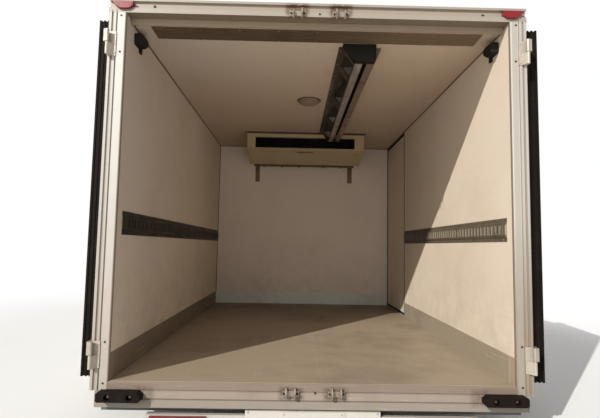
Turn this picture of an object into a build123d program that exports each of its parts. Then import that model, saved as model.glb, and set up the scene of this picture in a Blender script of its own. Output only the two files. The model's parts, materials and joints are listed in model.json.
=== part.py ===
"""Insulated load box of a refrigerated truck, with its rear frame, doors, rails and cooling unit.

Millimetres. X is across (right is +), +Y runs from the rear doors to the front wall, +Z is up.
The origin is on the undersides of the subframe runners, at the centre of the chassis bolts.
"""

from build123d import *
from math import cos, radians, sin
import os

# Load space, the dimensions that the rest follows
INNER_W = 2100.0
INNER_H = 1940.0
INNER_L = 3240.0

# Insulated panels
WALL_T = 80.0
ROOF_T = 80.0
FRONT_T = 80.0
FLOOR_T = 100.0
FLOOR_SKIN = 3.0

# Subframe under the floor
RUNNER_H = 130.0
CROSS_H = 70.0

# Rear frame
POST_W = 95.0
FRAME_DEPTH = 80.0
FACE_W = 47.0
RIB = (53.0, 68.0)
OUTER_RIB = 77.0
RIB_PROUD = 3.0
GROOVE = 4.0
SEAL_W = 5.0
SEAL_DEPTH = 14.0
HEADER_BAND = (18.0, 46.0)
HEADER_LIP = (83.0, 96.0)
THRESHOLD_DEPTH = 10.0

# Clearances between pieces that move and pieces that stand
GAP = 6.0
PIN_R = 5.0
PIN_PLAY = 0.05
KNUCKLE_R = 9.0
KNUCKLE_GAP = 3.0

# Places that follow from them
FLOOR_Z = RUNNER_H + CROSS_H + FLOOR_T
REAR_Y = -INNER_L / 2
WALL_X = INNER_W / 2
OUT_X = WALL_X + WALL_T
FRAME_X = WALL_X + POST_W
FRONT_IN = REAR_Y + INNER_L
FRONT_OUT = FRONT_IN + FRONT_T
PANEL_Y = REAR_Y + FRAME_DEPTH
CEIL_Z = FLOOR_Z + INNER_H
ROOF_Z = CEIL_Z + ROOF_T
PANEL_Z = FLOOR_Z - FLOOR_SKIN
SIDES = (-1, 1)

# Rear doors, in their closed place
DOOR_T = 54.0
DOOR_X = (GAP, WALL_X - GAP)
DOOR_Z = (FLOOR_Z + 5.0, CEIL_Z - 1.0)
DOOR_AXIS = (WALL_X + 86.0, REAR_Y - 30.0)
DOOR_TURN = {-1: 270.0, 1: 264.0}
STRAP_SET = 14.0
STRAP_T = 5.0
STRAP_L = 190.0
LEAF_T = 2.0
GASKET_W = 22.0
LIP_DEPTH = 4.0
HINGE_SPANS = ((FLOOR_Z + 66.0, FLOOR_Z + 202.0), (CEIL_Z - 229.0, CEIL_Z - 93.0))
ROD_X = 118.0
ROD_R = 9.0
ROD_OFF = 17.0
ROD_Z = (FLOOR_Z - 46.0, CEIL_Z + 41.0)

# Side door at the front of the right wall
SIDE_Y = (FRONT_IN - 868.0, FRONT_IN)
SIDE_LEAF_X = (WALL_X + 4.0, OUT_X - 2.0)
SIDE_LEAF_Y = (SIDE_Y[0] + 12.0, SIDE_Y[1] - 12.0)
SIDE_LEAF_Z = (FLOOR_Z + 6.0, CEIL_Z - 12.0)
SIDE_AXIS = (OUT_X + 18.0, FRONT_IN + 12.0)
SIDE_HINGES = (FLOOR_Z + 180.0, FLOOR_Z + 970.0, CEIL_Z - 240.0)
JAMB_W = 25.0

# Load rails: a raised track with rung slots between two flat flanges
RAIL_Z = (FLOOR_Z + 749.0, FLOOR_Z + 878.0)
RAIL_PROUD = 12.0
RAIL_START = {-1: 82.0, 1: 70.0}
RUNG_PITCH = 50.0
RUNG_SLOT = (16.0, 52.0)

# Cooling unit: evaporator under the ceiling, condenser on the front wall
EVAP_X = 640.0
EVAP_Y = FRONT_IN - 751.0
EVAP_Z = CEIL_Z - 280.0
COND_X = 560.0
COND_Z = (CEIL_Z - 510.0, CEIL_Z)
COND_DEPTH = 320.0
FAN_X = 270.0
FAN_Z = CEIL_Z - 271.0
FAN_R = 165.0

nodes = {}


def forward(distance):
    """Y of a place so far forward of the rear frame's face."""
    return REAR_Y + distance


def above(height):
    """Z of a place so far above the load floor."""
    return FLOOR_Z + height


def under(drop):
    """Z of a place so far below the ceiling, or above it where negative."""
    return CEIL_Z - drop


def block(x0, x1, y0, y1, z0, z1, mode=Mode.ADD):
    """A straight piece between two corners, in the part being built."""
    with Locations(((x0 + x1) / 2, (y0 + y1) / 2, (z0 + z1) / 2)):
        Box(abs(x1 - x0), abs(y1 - y0), abs(z1 - z0), mode=mode)


def run_y(outline, y0, y1, mode=Mode.ADD):
    """An outline in X and Z run along Y."""
    with BuildSketch(Plane(origin=(0, y0, 0), x_dir=(1, 0, 0), z_dir=(0, -1, 0))) as outline_sketch:
        with BuildLine():
            Polyline(*outline, close=True)
        make_face()
    extrude(outline_sketch.sketch, amount=y0 - y1, mode=mode)


def run_x(outline, x0, x1, mode=Mode.ADD):
    """An outline in Y and Z run along X."""
    with BuildSketch(Plane(origin=(x0, 0, 0), x_dir=(0, 1, 0), z_dir=(1, 0, 0))) as outline_sketch:
        with BuildLine():
            Polyline(*outline, close=True)
        make_face()
    extrude(outline_sketch.sketch, amount=x1 - x0, mode=mode)


def run_z(outline, z0, z1, mode=Mode.ADD):
    """An outline in X and Y run along Z."""
    with BuildSketch(Plane.XY.offset(z0)) as outline_sketch:
        with BuildLine():
            Polyline(*outline, close=True)
        make_face()
    extrude(outline_sketch.sketch, amount=z1 - z0, mode=mode)


def pin_z(x, y, radius, z0, z1, mode=Mode.ADD):
    """A round piece standing along Z."""
    with BuildSketch(Plane.XY.offset(z0)) as outline_sketch:
        with Locations((x, y)):
            Circle(radius)
    extrude(outline_sketch.sketch, amount=z1 - z0, mode=mode)


def pin_y(x, z, radius, y0, y1, mode=Mode.ADD):
    """A round piece lying along Y."""
    with BuildSketch(Plane(origin=(0, y0, 0), x_dir=(1, 0, 0), z_dir=(0, -1, 0))) as outline_sketch:
        with Locations((x, z)):
            Circle(radius)
    extrude(outline_sketch.sketch, amount=y0 - y1, mode=mode)


def facet_z(x, y, radius, z0, z1, sides=12):
    """A many-sided piece standing along Z, for rods and covers that nothing turns on."""
    with BuildSketch(Plane.XY.offset(z0)) as outline_sketch:
        with Locations((x, y)):
            RegularPolygon(radius, sides)
    extrude(outline_sketch.sketch, amount=z1 - z0)


def facet_y(x, z, radius, y0, y1, sides=8, mode=Mode.ADD):
    """A many-sided piece lying along Y, for knobs and sockets."""
    with BuildSketch(Plane(origin=(0, y0, 0), x_dir=(1, 0, 0), z_dir=(0, -1, 0))) as outline_sketch:
        with Locations((x, z)):
            RegularPolygon(radius, sides)
    extrude(outline_sketch.sketch, amount=y0 - y1, mode=mode)


def keep(name, part):
    """Label a finished piece and note it for writing."""
    part.label = name
    nodes[name] = part


def sided(name):
    """The two sides of a piece that the vehicle has left and right."""
    return ((-1, name + "_left"), (1, name + "_right"))


# Floor, walls and roof; the wall lining reaches over the rear posts to their seals

with BuildPart() as floor_panel:
    block(-OUT_X, OUT_X, PANEL_Y, FRONT_OUT, RUNNER_H + CROSS_H, PANEL_Z)
keep("floor_panel", floor_panel.part)

with BuildPart() as load_floor:
    block(-WALL_X, WALL_X, forward(THRESHOLD_DEPTH), FRONT_IN, PANEL_Z, FLOOR_Z)
keep("load_floor", load_floor.part)

with BuildPart() as wall_left:
    block(-OUT_X, -WALL_X, PANEL_Y, FRONT_IN, PANEL_Z, CEIL_Z)
    block(-WALL_X - SEAL_W, -WALL_X, forward(SEAL_DEPTH), PANEL_Y, PANEL_Z, CEIL_Z)
keep("wall_left", wall_left.part)

with BuildPart() as wall_right:
    block(WALL_X, OUT_X, PANEL_Y, SIDE_Y[0] - JAMB_W, PANEL_Z, CEIL_Z)
    block(WALL_X, WALL_X + SEAL_W, forward(SEAL_DEPTH), PANEL_Y, PANEL_Z, CEIL_Z)
keep("wall_right", wall_right.part)

with BuildPart() as roof_panel:
    block(-OUT_X, OUT_X, PANEL_Y, FRONT_OUT, CEIL_Z, ROOF_Z)
keep("roof_panel", roof_panel.part)

with BuildPart() as front_wall:
    block(-OUT_X, OUT_X, FRONT_IN, FRONT_OUT, PANEL_Z, CEIL_Z)
keep("front_wall", front_wall.part)


# Rear frame: posts with two ribs and a groove, header with its lamp recess, stepped sill

POST_FOOT = above(-47)
POST_TOP = above(HEADER_BAND[0] + INNER_H)
RIB_X = (WALL_X + RIB[0], WALL_X + RIB[1])
OUTER_RIB_X = (WALL_X + OUTER_RIB, FRAME_X)

for side, name in sided("rear_post"):
    with BuildPart() as post:
        with BuildSketch(Plane.XY.offset(POST_FOOT)):
            with BuildLine():
                Polyline(
                    (side * (WALL_X + SEAL_W), PANEL_Y),
                    (side * (WALL_X + SEAL_W), REAR_Y + 2),
                    (side * (WALL_X + SEAL_W + 2), REAR_Y),
                    (side * (WALL_X + FACE_W), REAR_Y),
                    (side * (WALL_X + FACE_W + 2), REAR_Y + GROOVE),
                    (side * (RIB_X[0] - 1), REAR_Y + GROOVE),
                    (side * (RIB_X[0] + 1), REAR_Y - RIB_PROUD),
                    (side * (RIB_X[1] - 2), REAR_Y - RIB_PROUD),
                    (side * RIB_X[1], REAR_Y + GROOVE),
                    (side * OUTER_RIB_X[0], REAR_Y + GROOVE),
                    (side * (OUTER_RIB_X[0] + 2), REAR_Y - RIB_PROUD),
                    (side * (FRAME_X - 5), REAR_Y - RIB_PROUD),
                    (side * FRAME_X, REAR_Y + 3),
                    (side * FRAME_X, PANEL_Y),
                    close=True,
                )
            make_face()
        extrude(amount=POST_TOP - POST_FOOT)
    keep(name, post.part)

with BuildPart() as frame_seals:
    for side in SIDES:
        run_z(
            (
                (side * (WALL_X + SEAL_W), REAR_Y + 2),
                (side * (WALL_X + 2), REAR_Y + 2),
                (side * (WALL_X - 1), REAR_Y + 5),
                (side * (WALL_X - 1), REAR_Y + SEAL_DEPTH - 2),
                (side * WALL_X, REAR_Y + SEAL_DEPTH),
                (side * (WALL_X + SEAL_W), REAR_Y + SEAL_DEPTH),
            ),
            FLOOR_Z,
            POST_TOP,
        )
keep("frame_seals", frame_seals.part)

HEADER_BACK = 14.0
LIP_Y = forward(70)
with BuildPart() as rear_header:
    run_x(
        (
            (REAR_Y, POST_TOP),
            (REAR_Y, CEIL_Z + HEADER_BAND[1]),
            (REAR_Y + HEADER_BACK, CEIL_Z + HEADER_BAND[1]),
            (REAR_Y + HEADER_BACK, CEIL_Z + HEADER_LIP[0]),
            (REAR_Y, CEIL_Z + HEADER_LIP[0]),
            (REAR_Y, CEIL_Z + HEADER_LIP[1]),
            (PANEL_Y + 8, CEIL_Z + HEADER_LIP[1]),
            (PANEL_Y + 24, ROOF_Z),
            (PANEL_Y, ROOF_Z),
            (PANEL_Y, POST_TOP),
        ),
        -FRAME_X,
        FRAME_X,
    )
    block(-WALL_X, WALL_X, LIP_Y, PANEL_Y, CEIL_Z - 16, POST_TOP)
    for side in SIDES:
        block(side * OUTER_RIB_X[0], side * FRAME_X, REAR_Y - RIB_PROUD, REAR_Y, POST_TOP, POST_TOP + 12)
        block(side * RIB_X[0], side * RIB_X[1], REAR_Y - RIB_PROUD, REAR_Y, POST_TOP, POST_TOP + 17)
keep("rear_header", rear_header.part)

SILL_X = WALL_X + 66.0
SILL_Z = above(-131)
with BuildPart() as rear_sill:
    run_x(
        (
            (PANEL_Y, SILL_Z),
            (REAR_Y + 3, SILL_Z),
            (REAR_Y, SILL_Z + 3),
            (REAR_Y, above(-91)),
            (REAR_Y + GROOVE, above(-89)),
            (REAR_Y + GROOVE, above(-85)),
            (REAR_Y, above(-83)),
            (REAR_Y, POST_FOOT),
            (PANEL_Y, POST_FOOT),
        ),
        -SILL_X,
        SILL_X,
    )
    run_x(
        (
            (PANEL_Y, POST_FOOT),
            (REAR_Y + GROOVE, POST_FOOT),
            (REAR_Y + GROOVE, above(-42)),
            (REAR_Y, above(-40)),
            (REAR_Y, above(-8)),
            (REAR_Y + 5, PANEL_Z),
            (PANEL_Y, PANEL_Z),
        ),
        -WALL_X - SEAL_W,
        WALL_X + SEAL_W,
    )
keep("rear_sill", rear_sill.part)


# Aluminium trims on the outside edges

TRIM = 4.0
with BuildPart() as roof_edge_trims:
    for side in SIDES:
        run_y(
            (
                (side * OUT_X, under(-6)),
                (side * (OUT_X + TRIM), under(-6)),
                (side * (OUT_X + TRIM), ROOF_Z + TRIM),
                (side * (OUT_X - 50), ROOF_Z + TRIM),
                (side * (OUT_X - 50), ROOF_Z),
                (side * OUT_X, ROOF_Z),
            ),
            PANEL_Y + 24,
            FRONT_OUT,
        )
    run_x(
        (
            (FRONT_OUT, under(-6)),
            (FRONT_OUT + TRIM, under(-6)),
            (FRONT_OUT + TRIM, ROOF_Z + TRIM),
            (FRONT_OUT - 50, ROOF_Z + TRIM),
            (FRONT_OUT - 50, ROOF_Z),
            (FRONT_OUT, ROOF_Z),
        ),
        -OUT_X - TRIM,
        OUT_X + TRIM,
    )
keep("roof_edge_trims", roof_edge_trims.part)

FLOOR_TRIM_Z = (above(-110), above(-6))
with BuildPart() as floor_edge_trims:
    for side in SIDES:
        run_y(
            (
                (side * OUT_X, FLOOR_TRIM_Z[0]),
                (side * (OUT_X + TRIM), FLOOR_TRIM_Z[0]),
                (side * (OUT_X + TRIM), FLOOR_TRIM_Z[1] - 3),
                (side * (OUT_X + 1), FLOOR_TRIM_Z[1]),
                (side * OUT_X, FLOOR_TRIM_Z[1]),
            ),
            PANEL_Y,
            FRONT_OUT,
        )
    block(-OUT_X - TRIM, OUT_X + TRIM, FRONT_OUT, FRONT_OUT + TRIM, *FLOOR_TRIM_Z)
keep("floor_edge_trims", floor_edge_trims.part)

CORNER_LEG = (FRONT_IN + 6.0, FRONT_OUT + TRIM)
with BuildPart() as front_corner_posts:
    for side in SIDES:
        with BuildSketch(Plane.XY.offset(FLOOR_TRIM_Z[1])):
            with BuildLine():
                Polyline(
                    (side * OUT_X, CORNER_LEG[0]),
                    (side * (OUT_X + TRIM), CORNER_LEG[0]),
                    (side * (OUT_X + TRIM), FRONT_OUT - 2),
                    (side * (OUT_X - 2), CORNER_LEG[1]),
                    (side * (OUT_X - 60), CORNER_LEG[1]),
                    (side * (OUT_X - 60), FRONT_OUT),
                    (side * OUT_X, FRONT_OUT),
                    close=True,
                )
            make_face()
        extrude(amount=under(-6) - FLOOR_TRIM_Z[1])
keep("front_corner_posts", front_corner_posts.part)


# Side door frame: rear jamb with an outer flange, and the threshold

with BuildPart() as side_door_frame:
    jamb_y = (SIDE_Y[0] - JAMB_W, SIDE_Y[0])
    run_z(
        (
            (WALL_X, jamb_y[0]),
            (WALL_X, jamb_y[1]),
            (OUT_X + TRIM, jamb_y[1]),
            (OUT_X + TRIM, jamb_y[0] - 18),
            (OUT_X, jamb_y[0] - 18),
            (OUT_X, jamb_y[0]),
        ),
        PANEL_Z,
        CEIL_Z,
    )
    block(WALL_X, OUT_X, SIDE_Y[0], SIDE_Y[1], PANEL_Z, FLOOR_Z)
keep("side_door_frame", side_door_frame.part)


# Lining: load rails, kick plates, ceiling strip, corner blocks


def load_rail(side, y0, y1):
    """One load rail on a side wall: flanges, hollow crown with two lengthwise ribs, rung slots."""
    wall = side * WALL_X
    low, high = RAIL_Z
    sheet = 3.0
    outline = []
    for depth, z in (
        (0, low),
        (sheet, low),
        (sheet, low + 20),
        (RAIL_PROUD - 2, low + 26),
        (RAIL_PROUD - 2, low + 32),
        (RAIL_PROUD, low + 33),
        (RAIL_PROUD, high - 33),
        (RAIL_PROUD - 2, high - 32),
        (RAIL_PROUD - 2, high - 26),
        (sheet, high - 20),
        (sheet, high),
        (0, high),
        (0, high - 22),
        (RAIL_PROUD - 5, high - 30),
        (RAIL_PROUD - 5, low + 30),
        (0, low + 22),
    ):
        outline.append((wall - side * depth, z))
    run_y(outline, y0, y1)
    count = int((y1 - y0 - 60) // RUNG_PITCH)
    plane = Plane(origin=(wall, (y0 + y1) / 2, (low + high) / 2), x_dir=(0, 1, 0), z_dir=(1, 0, 0))
    with BuildSketch(plane) as slots:
        with GridLocations(RUNG_PITCH, 1, count, 1):
            Rectangle(*RUNG_SLOT)
    extrude(slots.sketch, amount=-side * (RAIL_PROUD + 5), mode=Mode.SUBTRACT)


RAIL_ENDS = {-1: FRONT_IN - 4, 1: SIDE_Y[0] - JAMB_W}
with BuildPart() as load_rails:
    for side in SIDES:
        load_rail(side, forward(RAIL_START[side]), RAIL_ENDS[side])
keep("load_rails", load_rails.part)

KICK_H = 140.0
KICK_Y = forward(72)
with BuildPart() as kick_plates:
    block(-WALL_X, -WALL_X + 3, KICK_Y, FRONT_IN, FLOOR_Z, above(KICK_H))
    block(WALL_X - 3, WALL_X, KICK_Y, SIDE_Y[0] - JAMB_W, FLOOR_Z, above(KICK_H))
    block(-WALL_X + 3, WALL_X - 8, FRONT_IN - 3, FRONT_IN, FLOOR_Z, above(KICK_H))
keep("kick_plates", kick_plates.part)

STRIP_RIBS = 7
STRIP_X = WALL_X - 95
STRIP_Y = (forward(118), forward(270))
with BuildPart() as ceiling_strip:
    block(-STRIP_X, STRIP_X, *STRIP_Y, CEIL_Z - 3, CEIL_Z)
    strip_plane = Plane(origin=(0, sum(STRIP_Y) / 2, CEIL_Z - 3), x_dir=(1, 0, 0), z_dir=(0, 0, -1))
    with BuildSketch(strip_plane):
        with GridLocations(1, 20, 1, STRIP_RIBS):
            Rectangle(2 * STRIP_X - 10, 7)
    extrude(amount=3)
keep("ceiling_strip", ceiling_strip.part)

BLOCK_Y = (130.0, 250.0)
with BuildPart() as corner_blocks:
    for side in SIDES:
        run_x(
            (
                (forward(BLOCK_Y[0]), under(94)),
                (forward(BLOCK_Y[0]), under(44)),
                (forward(BLOCK_Y[0] + 12), under(32)),
                (forward(BLOCK_Y[1] - 30), under(28)),
                (forward(BLOCK_Y[1]), under(42)),
                (forward(BLOCK_Y[1]), under(72)),
                (forward(BLOCK_Y[1] - 40), under(98)),
                (forward(BLOCK_Y[0] + 6), under(100)),
            ),
            side * WALL_X,
            side * (WALL_X - 46),
        )
        inner_edges = corner_blocks.edges().filter_by_position(
            Axis.X, side * (WALL_X - 46) - 0.1, side * (WALL_X - 46) + 0.1
        )
        chamfer(inner_edges, 9)
        block(side * WALL_X, side * (WALL_X - 12), forward(212), forward(242), under(118), under(80))
keep("corner_blocks", corner_blocks.part)


# Hanging rail: a hat section under the ceiling with a slot below and windows in its sloped web

RAIL_Y = (forward(330), EVAP_Y - 8)
RAIL_CAP_Y = (forward(275), forward(330))
RAIL_WINDOWS = ((0.120, 0.184), (0.211, 0.367), (0.415, 0.556), (0.593, 0.722))
RAIL_GUSSETS = (0.1975, 0.391, 0.574, 0.741)
HAT_LOW = under(100)
HAT_UP = CEIL_Z - 5
HAT_X = (143.0, 405.0)
WEB_X = (176.0, 244.0)
SLOT_X = (291.0, 317.0)
HAT_SIDE_X = 363.0
with BuildPart() as hanging_rail:
    run_y(
        (
            (HAT_X[0], CEIL_Z),
            (HAT_X[1], CEIL_Z),
            (HAT_X[1], HAT_UP),
            (HAT_SIDE_X, HAT_UP),
            (HAT_SIDE_X, HAT_LOW),
            (SLOT_X[1], HAT_LOW),
            (SLOT_X[1], HAT_LOW + 5),
            (HAT_SIDE_X - 5, HAT_LOW + 5),
            (HAT_SIDE_X - 5, HAT_UP),
            (WEB_X[0] + 6.5, HAT_UP),
            (WEB_X[1] + 2.4, HAT_LOW + 5),
            (SLOT_X[0], HAT_LOW + 5),
            (SLOT_X[0], HAT_LOW),
            (WEB_X[1], HAT_LOW),
            (WEB_X[0], HAT_UP),
            (HAT_X[0], HAT_UP),
        ),
        *RAIL_Y,
    )
    for start, end in RAIL_WINDOWS:
        block(
            HAT_X[0] + 7,
            WEB_X[1] - 1,
            forward(start * INNER_L),
            forward(end * INNER_L),
            HAT_LOW + 10,
            HAT_UP - 6,
            mode=Mode.SUBTRACT,
        )
keep("hanging_rail", hanging_rail.part)

with BuildPart() as rail_end_cap:
    run_y(
        (
            (HAT_X[0] + 20, CEIL_Z),
            (HAT_SIDE_X + 4, CEIL_Z),
            (HAT_SIDE_X + 4, HAT_LOW + 4),
            (HAT_SIDE_X - 6, HAT_LOW - 4),
            (WEB_X[1] - 4, HAT_LOW - 4),
            (WEB_X[1] - 12, HAT_LOW + 2),
        ),
        *RAIL_CAP_Y,
    )
    chamfer(rail_end_cap.faces().sort_by(Axis.Y)[0].edges(), 5)
keep("rail_end_cap", rail_end_cap.part)

STOP_Y = (360.0, 480.0)
with BuildPart() as hanging_rail_fittings:
    for share in RAIL_GUSSETS:
        y = forward(share * INNER_L)
        run_y(
            ((184, HAT_UP), (249, HAT_LOW + 8), (270, HAT_LOW + 8), (270, HAT_UP)),
            y - 3,
            y + 3,
        )
    block(255, 288, forward(STOP_Y[0]), forward(STOP_Y[1]), HAT_LOW - 5, HAT_LOW)
    block(262, 270, forward(STOP_Y[0] + 20), forward(STOP_Y[1] - 20), HAT_LOW - 16, HAT_LOW - 5)
keep("hanging_rail_fittings", hanging_rail_fittings.part)

LAMP_X = -6.0
LAMP_Y = forward(0.4275 * INNER_L)
LAMP_R = (96.0, 86.0)
LAMP_SIDES = 24
with BuildPart() as ceiling_lamp:
    facet_z(LAMP_X, LAMP_Y, LAMP_R[0], CEIL_Z - 14, CEIL_Z, LAMP_SIDES)
    chamfer(ceiling_lamp.edges().group_by(Axis.Z)[0], 6)
    facet_z(LAMP_X, LAMP_Y, LAMP_R[1], CEIL_Z - 34, CEIL_Z - 14, LAMP_SIDES)
    chamfer(ceiling_lamp.edges().group_by(Axis.Z)[0], length=14, length2=24)
keep("ceiling_lamp", ceiling_lamp.part)


# Evaporator: outlet slot to the rear, belly that deepens to the fans, grille under its front half

SHELL = 12.0
OUTLET_X = (-549.0, 536.0)
OUTLET_Z = (under(174), under(56))
FLANGE_X = 660.0
BELLY_Y = (EVAP_Y + 385, EVAP_Y + 430)
GRILLE_Y = (EVAP_Y + 450, EVAP_Y + 640)
GRILLE_X = (-320.0, 320.0)
GRILLE_W = 400.0
GRILLE_SLOTS = 7
REAR_Z = under(192)
INNER_TOP = CEIL_Z - SHELL
with BuildPart() as evaporator_housing:
    run_x(
        (
            (EVAP_Y, CEIL_Z - 10),
            (EVAP_Y, OUTLET_Z[0] - 4),
            (EVAP_Y + 14, under(188)),
            (BELLY_Y[0], EVAP_Z),
            (BELLY_Y[1], EVAP_Z),
            (EVAP_Y + 660, REAR_Z),
            (FRONT_IN, REAR_Z),
            (FRONT_IN, CEIL_Z - 10),
        ),
        -EVAP_X,
        EVAP_X,
    )
    block(-FLANGE_X, FLANGE_X, EVAP_Y - 8, FRONT_IN, CEIL_Z - 10, CEIL_Z)
    run_x(
        (
            (EVAP_Y + 40, INNER_TOP),
            (EVAP_Y + 40, OUTLET_Z[0]),
            (BELLY_Y[0], EVAP_Z + SHELL),
            (BELLY_Y[1], EVAP_Z + SHELL),
            (EVAP_Y + 650, REAR_Z + SHELL),
            (FRONT_IN - SHELL, REAR_Z + SHELL),
            (FRONT_IN - SHELL, INNER_TOP),
        ),
        -EVAP_X + SHELL,
        EVAP_X - SHELL,
        mode=Mode.SUBTRACT,
    )
    block(*OUTLET_X, EVAP_Y - 20, EVAP_Y + 50, *OUTLET_Z, mode=Mode.SUBTRACT)
    for index in range(GRILLE_SLOTS):
        y = GRILLE_Y[0] + (index + 0.5) * (GRILLE_Y[1] - GRILLE_Y[0]) / GRILLE_SLOTS
        for x in GRILLE_X:
            block(x - GRILLE_W / 2, x + GRILLE_W / 2, y - 7, y + 7, EVAP_Z - 5, under(150), mode=Mode.SUBTRACT)
    front_edges = evaporator_housing.edges().filter_by(Axis.Z).filter_by_position(Axis.Y, EVAP_Y - 1, EVAP_Y + 1)
    chamfer([edge for edge in front_edges if abs(abs(edge.center().X) - EVAP_X) < 1], 8)
keep("evaporator_housing", evaporator_housing.part)

VANES = 3
VANE_POSTS = (-545.0, -180.0, 180.0, 532.0)
with BuildPart() as evaporator_coil:
    block(
        -EVAP_X + SHELL,
        EVAP_X - SHELL,
        EVAP_Y + 160,
        EVAP_Y + 300,
        under(204),
        INNER_TOP,
    )
    for index in range(VANES):
        z = OUTLET_Z[0] + (index + 0.5) * (OUTLET_Z[1] - OUTLET_Z[0]) / VANES
        block(OUTLET_X[0], OUTLET_X[1], EVAP_Y + 50, EVAP_Y + 90, z - 2, z + 2)
    for x in VANE_POSTS:
        block(x - 3, x + 3, EVAP_Y + 60, EVAP_Y + 160, under(178), OUTLET_Z[1])
keep("evaporator_coil", evaporator_coil.part)

BAR_Z = (under(254), under(228))
BAR_X_END = 617.0
BAR_LEGS = ((-602.0, -549.0), (543.0, 600.0))
KNOB_X = (-487, -274, -61, 240, 453)
KNOB_Z = under(256)
with BuildPart() as hook_bar:
    block(-BAR_X_END, BAR_X_END, FRONT_IN - 46, FRONT_IN - 26, *BAR_Z)
    for x0, x1 in BAR_LEGS:
        block(x0, x1, FRONT_IN - 6, FRONT_IN, under(445), BAR_Z[1])
        block(x0 + 10, x1 - 10, FRONT_IN - 26, FRONT_IN - 6, *BAR_Z)
    for x in KNOB_X:
        facet_y(x, KNOB_Z, 11, FRONT_IN - 66, FRONT_IN - 46, sides=6)
        facet_y(x, KNOB_Z, 16, FRONT_IN - 76, FRONT_IN - 66)
keep("hook_bar", hook_bar.part)


# Rear frame fittings

with BuildPart() as marker_lamps:
    for side in SIDES:
        run_y(
            (
                (side * (WALL_X - 40), under(-77)),
                (side * (WALL_X - 36), under(-50)),
                (side * (WALL_X - 20), under(-36)),
                (side * WALL_X, under(-33)),
                (side * (WALL_X + 32), under(-33)),
                (side * (WALL_X + 54), under(-46)),
                (side * (WALL_X + 75), under(-70)),
                (side * (WALL_X + 75), under(-77)),
            ),
            REAR_Y - 16,
            REAR_Y - 4,
        )
        lens_faces = marker_lamps.faces().filter_by_position(Axis.Y, REAR_Y - 17, REAR_Y - 15)
        chamfer(lens_faces.sort_by(Axis.X)[0 if side < 0 else -1].edges(), 3)
        run_y(
            (
                (side * (WALL_X - 37), under(-76)),
                (side * (WALL_X - 34), under(-50)),
                (side * (WALL_X + 55), under(-50)),
                (side * (WALL_X + 73), under(-70)),
                (side * (WALL_X + 73), under(-76)),
            ),
            REAR_Y - 4,
            REAR_Y + HEADER_BACK,
        )
keep("marker_lamps", marker_lamps.part)

BUFFER_X = (WALL_X - 182.0, WALL_X + 41.0)
BUFFER_Z = (above(-90), above(-41))
BUFFER_BOLTS = (WALL_X - 126.0, WALL_X - 16.0)
with BuildPart() as buffers:
    for side in SIDES:
        run_y(
            (
                (side * (BUFFER_X[0] + 10), BUFFER_Z[0]),
                (side * BUFFER_X[0], BUFFER_Z[0] + 10),
                (side * BUFFER_X[0], BUFFER_Z[1] - 16),
                (side * (BUFFER_X[0] + 20), BUFFER_Z[1]),
                (side * (BUFFER_X[1] - 8), BUFFER_Z[1]),
                (side * BUFFER_X[1], BUFFER_Z[1] - 8),
                (side * BUFFER_X[1], BUFFER_Z[0] + 8),
                (side * (BUFFER_X[1] - 8), BUFFER_Z[0]),
            ),
            REAR_Y - 56,
            REAR_Y,
        )
        front_faces = buffers.faces().filter_by_position(Axis.Y, REAR_Y - 57, REAR_Y - 55)
        chamfer(front_faces.sort_by(Axis.X)[0 if side < 0 else -1].edges(), 3)
        for x in BUFFER_BOLTS:
            facet_y(side * x, sum(BUFFER_Z) / 2, 15, REAR_Y - 60, REAR_Y - 30, sides=12, mode=Mode.SUBTRACT)
keep("buffers", buffers.part)

KEEPER_W = 88.0
CLAW_X = 23.0
CLAW_T = 7.0
with BuildPart() as lock_keepers:
    for side in SIDES:
        centre = side * ROD_X
        for middle, up in ((under(-34), 1), (above(-50), -1)):
            block(centre - KEEPER_W / 2, centre + KEEPER_W / 2, REAR_Y - 5, REAR_Y, middle - 14, middle + 14)
            for reach in (-1, 1):
                tip = 30 if reach * side < 0 else 18
                run_x(
                    (
                        (REAR_Y - 5, middle - up * 14),
                        (REAR_Y - 8, middle - up * 34),
                        (REAR_Y - 18, middle - up * 30),
                        (REAR_Y - 34, middle - up * 6),
                        (REAR_Y - 28, middle + up * tip * 0.7),
                        (REAR_Y - 12, middle + up * tip),
                        (REAR_Y - 5, middle + up * 14),
                    ),
                    centre + reach * CLAW_X - CLAW_T / 2,
                    centre + reach * CLAW_X + CLAW_T / 2,
                )
keep("lock_keepers", lock_keepers.part)

LEAF_X = (WALL_X + 48, FRAME_X - 5)
LEAF_Y = REAR_Y - RIB_PROUD - LEAF_T
with BuildPart() as frame_hinges:
    for side in SIDES:
        for z0, z1 in HINGE_SPANS:
            middle = (z0 + z1) / 2
            block(side * LEAF_X[0], side * LEAF_X[1], LEAF_Y, LEAF_Y + LEAF_T, z0, z1)
            run_z(
                (
                    (side * (LEAF_X[0] + 12), LEAF_Y),
                    (side * (DOOR_AXIS[0] - KNUCKLE_R), DOOR_AXIS[1] - 1),
                    (side * DOOR_AXIS[0], DOOR_AXIS[1] - 3),
                    (side * (DOOR_AXIS[0] + KNUCKLE_R - 1), DOOR_AXIS[1] + 2),
                    (side * LEAF_X[1], LEAF_Y),
                ),
                z0,
                middle - KNUCKLE_GAP,
            )
            pin_z(side * DOOR_AXIS[0], DOOR_AXIS[1], KNUCKLE_R, z0, middle - KNUCKLE_GAP)
            pin_z(side * DOOR_AXIS[0], DOOR_AXIS[1], PIN_R, middle - KNUCKLE_GAP, z1)
keep("frame_hinges", frame_hinges.part)


# Subframe and what hangs from it

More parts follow.
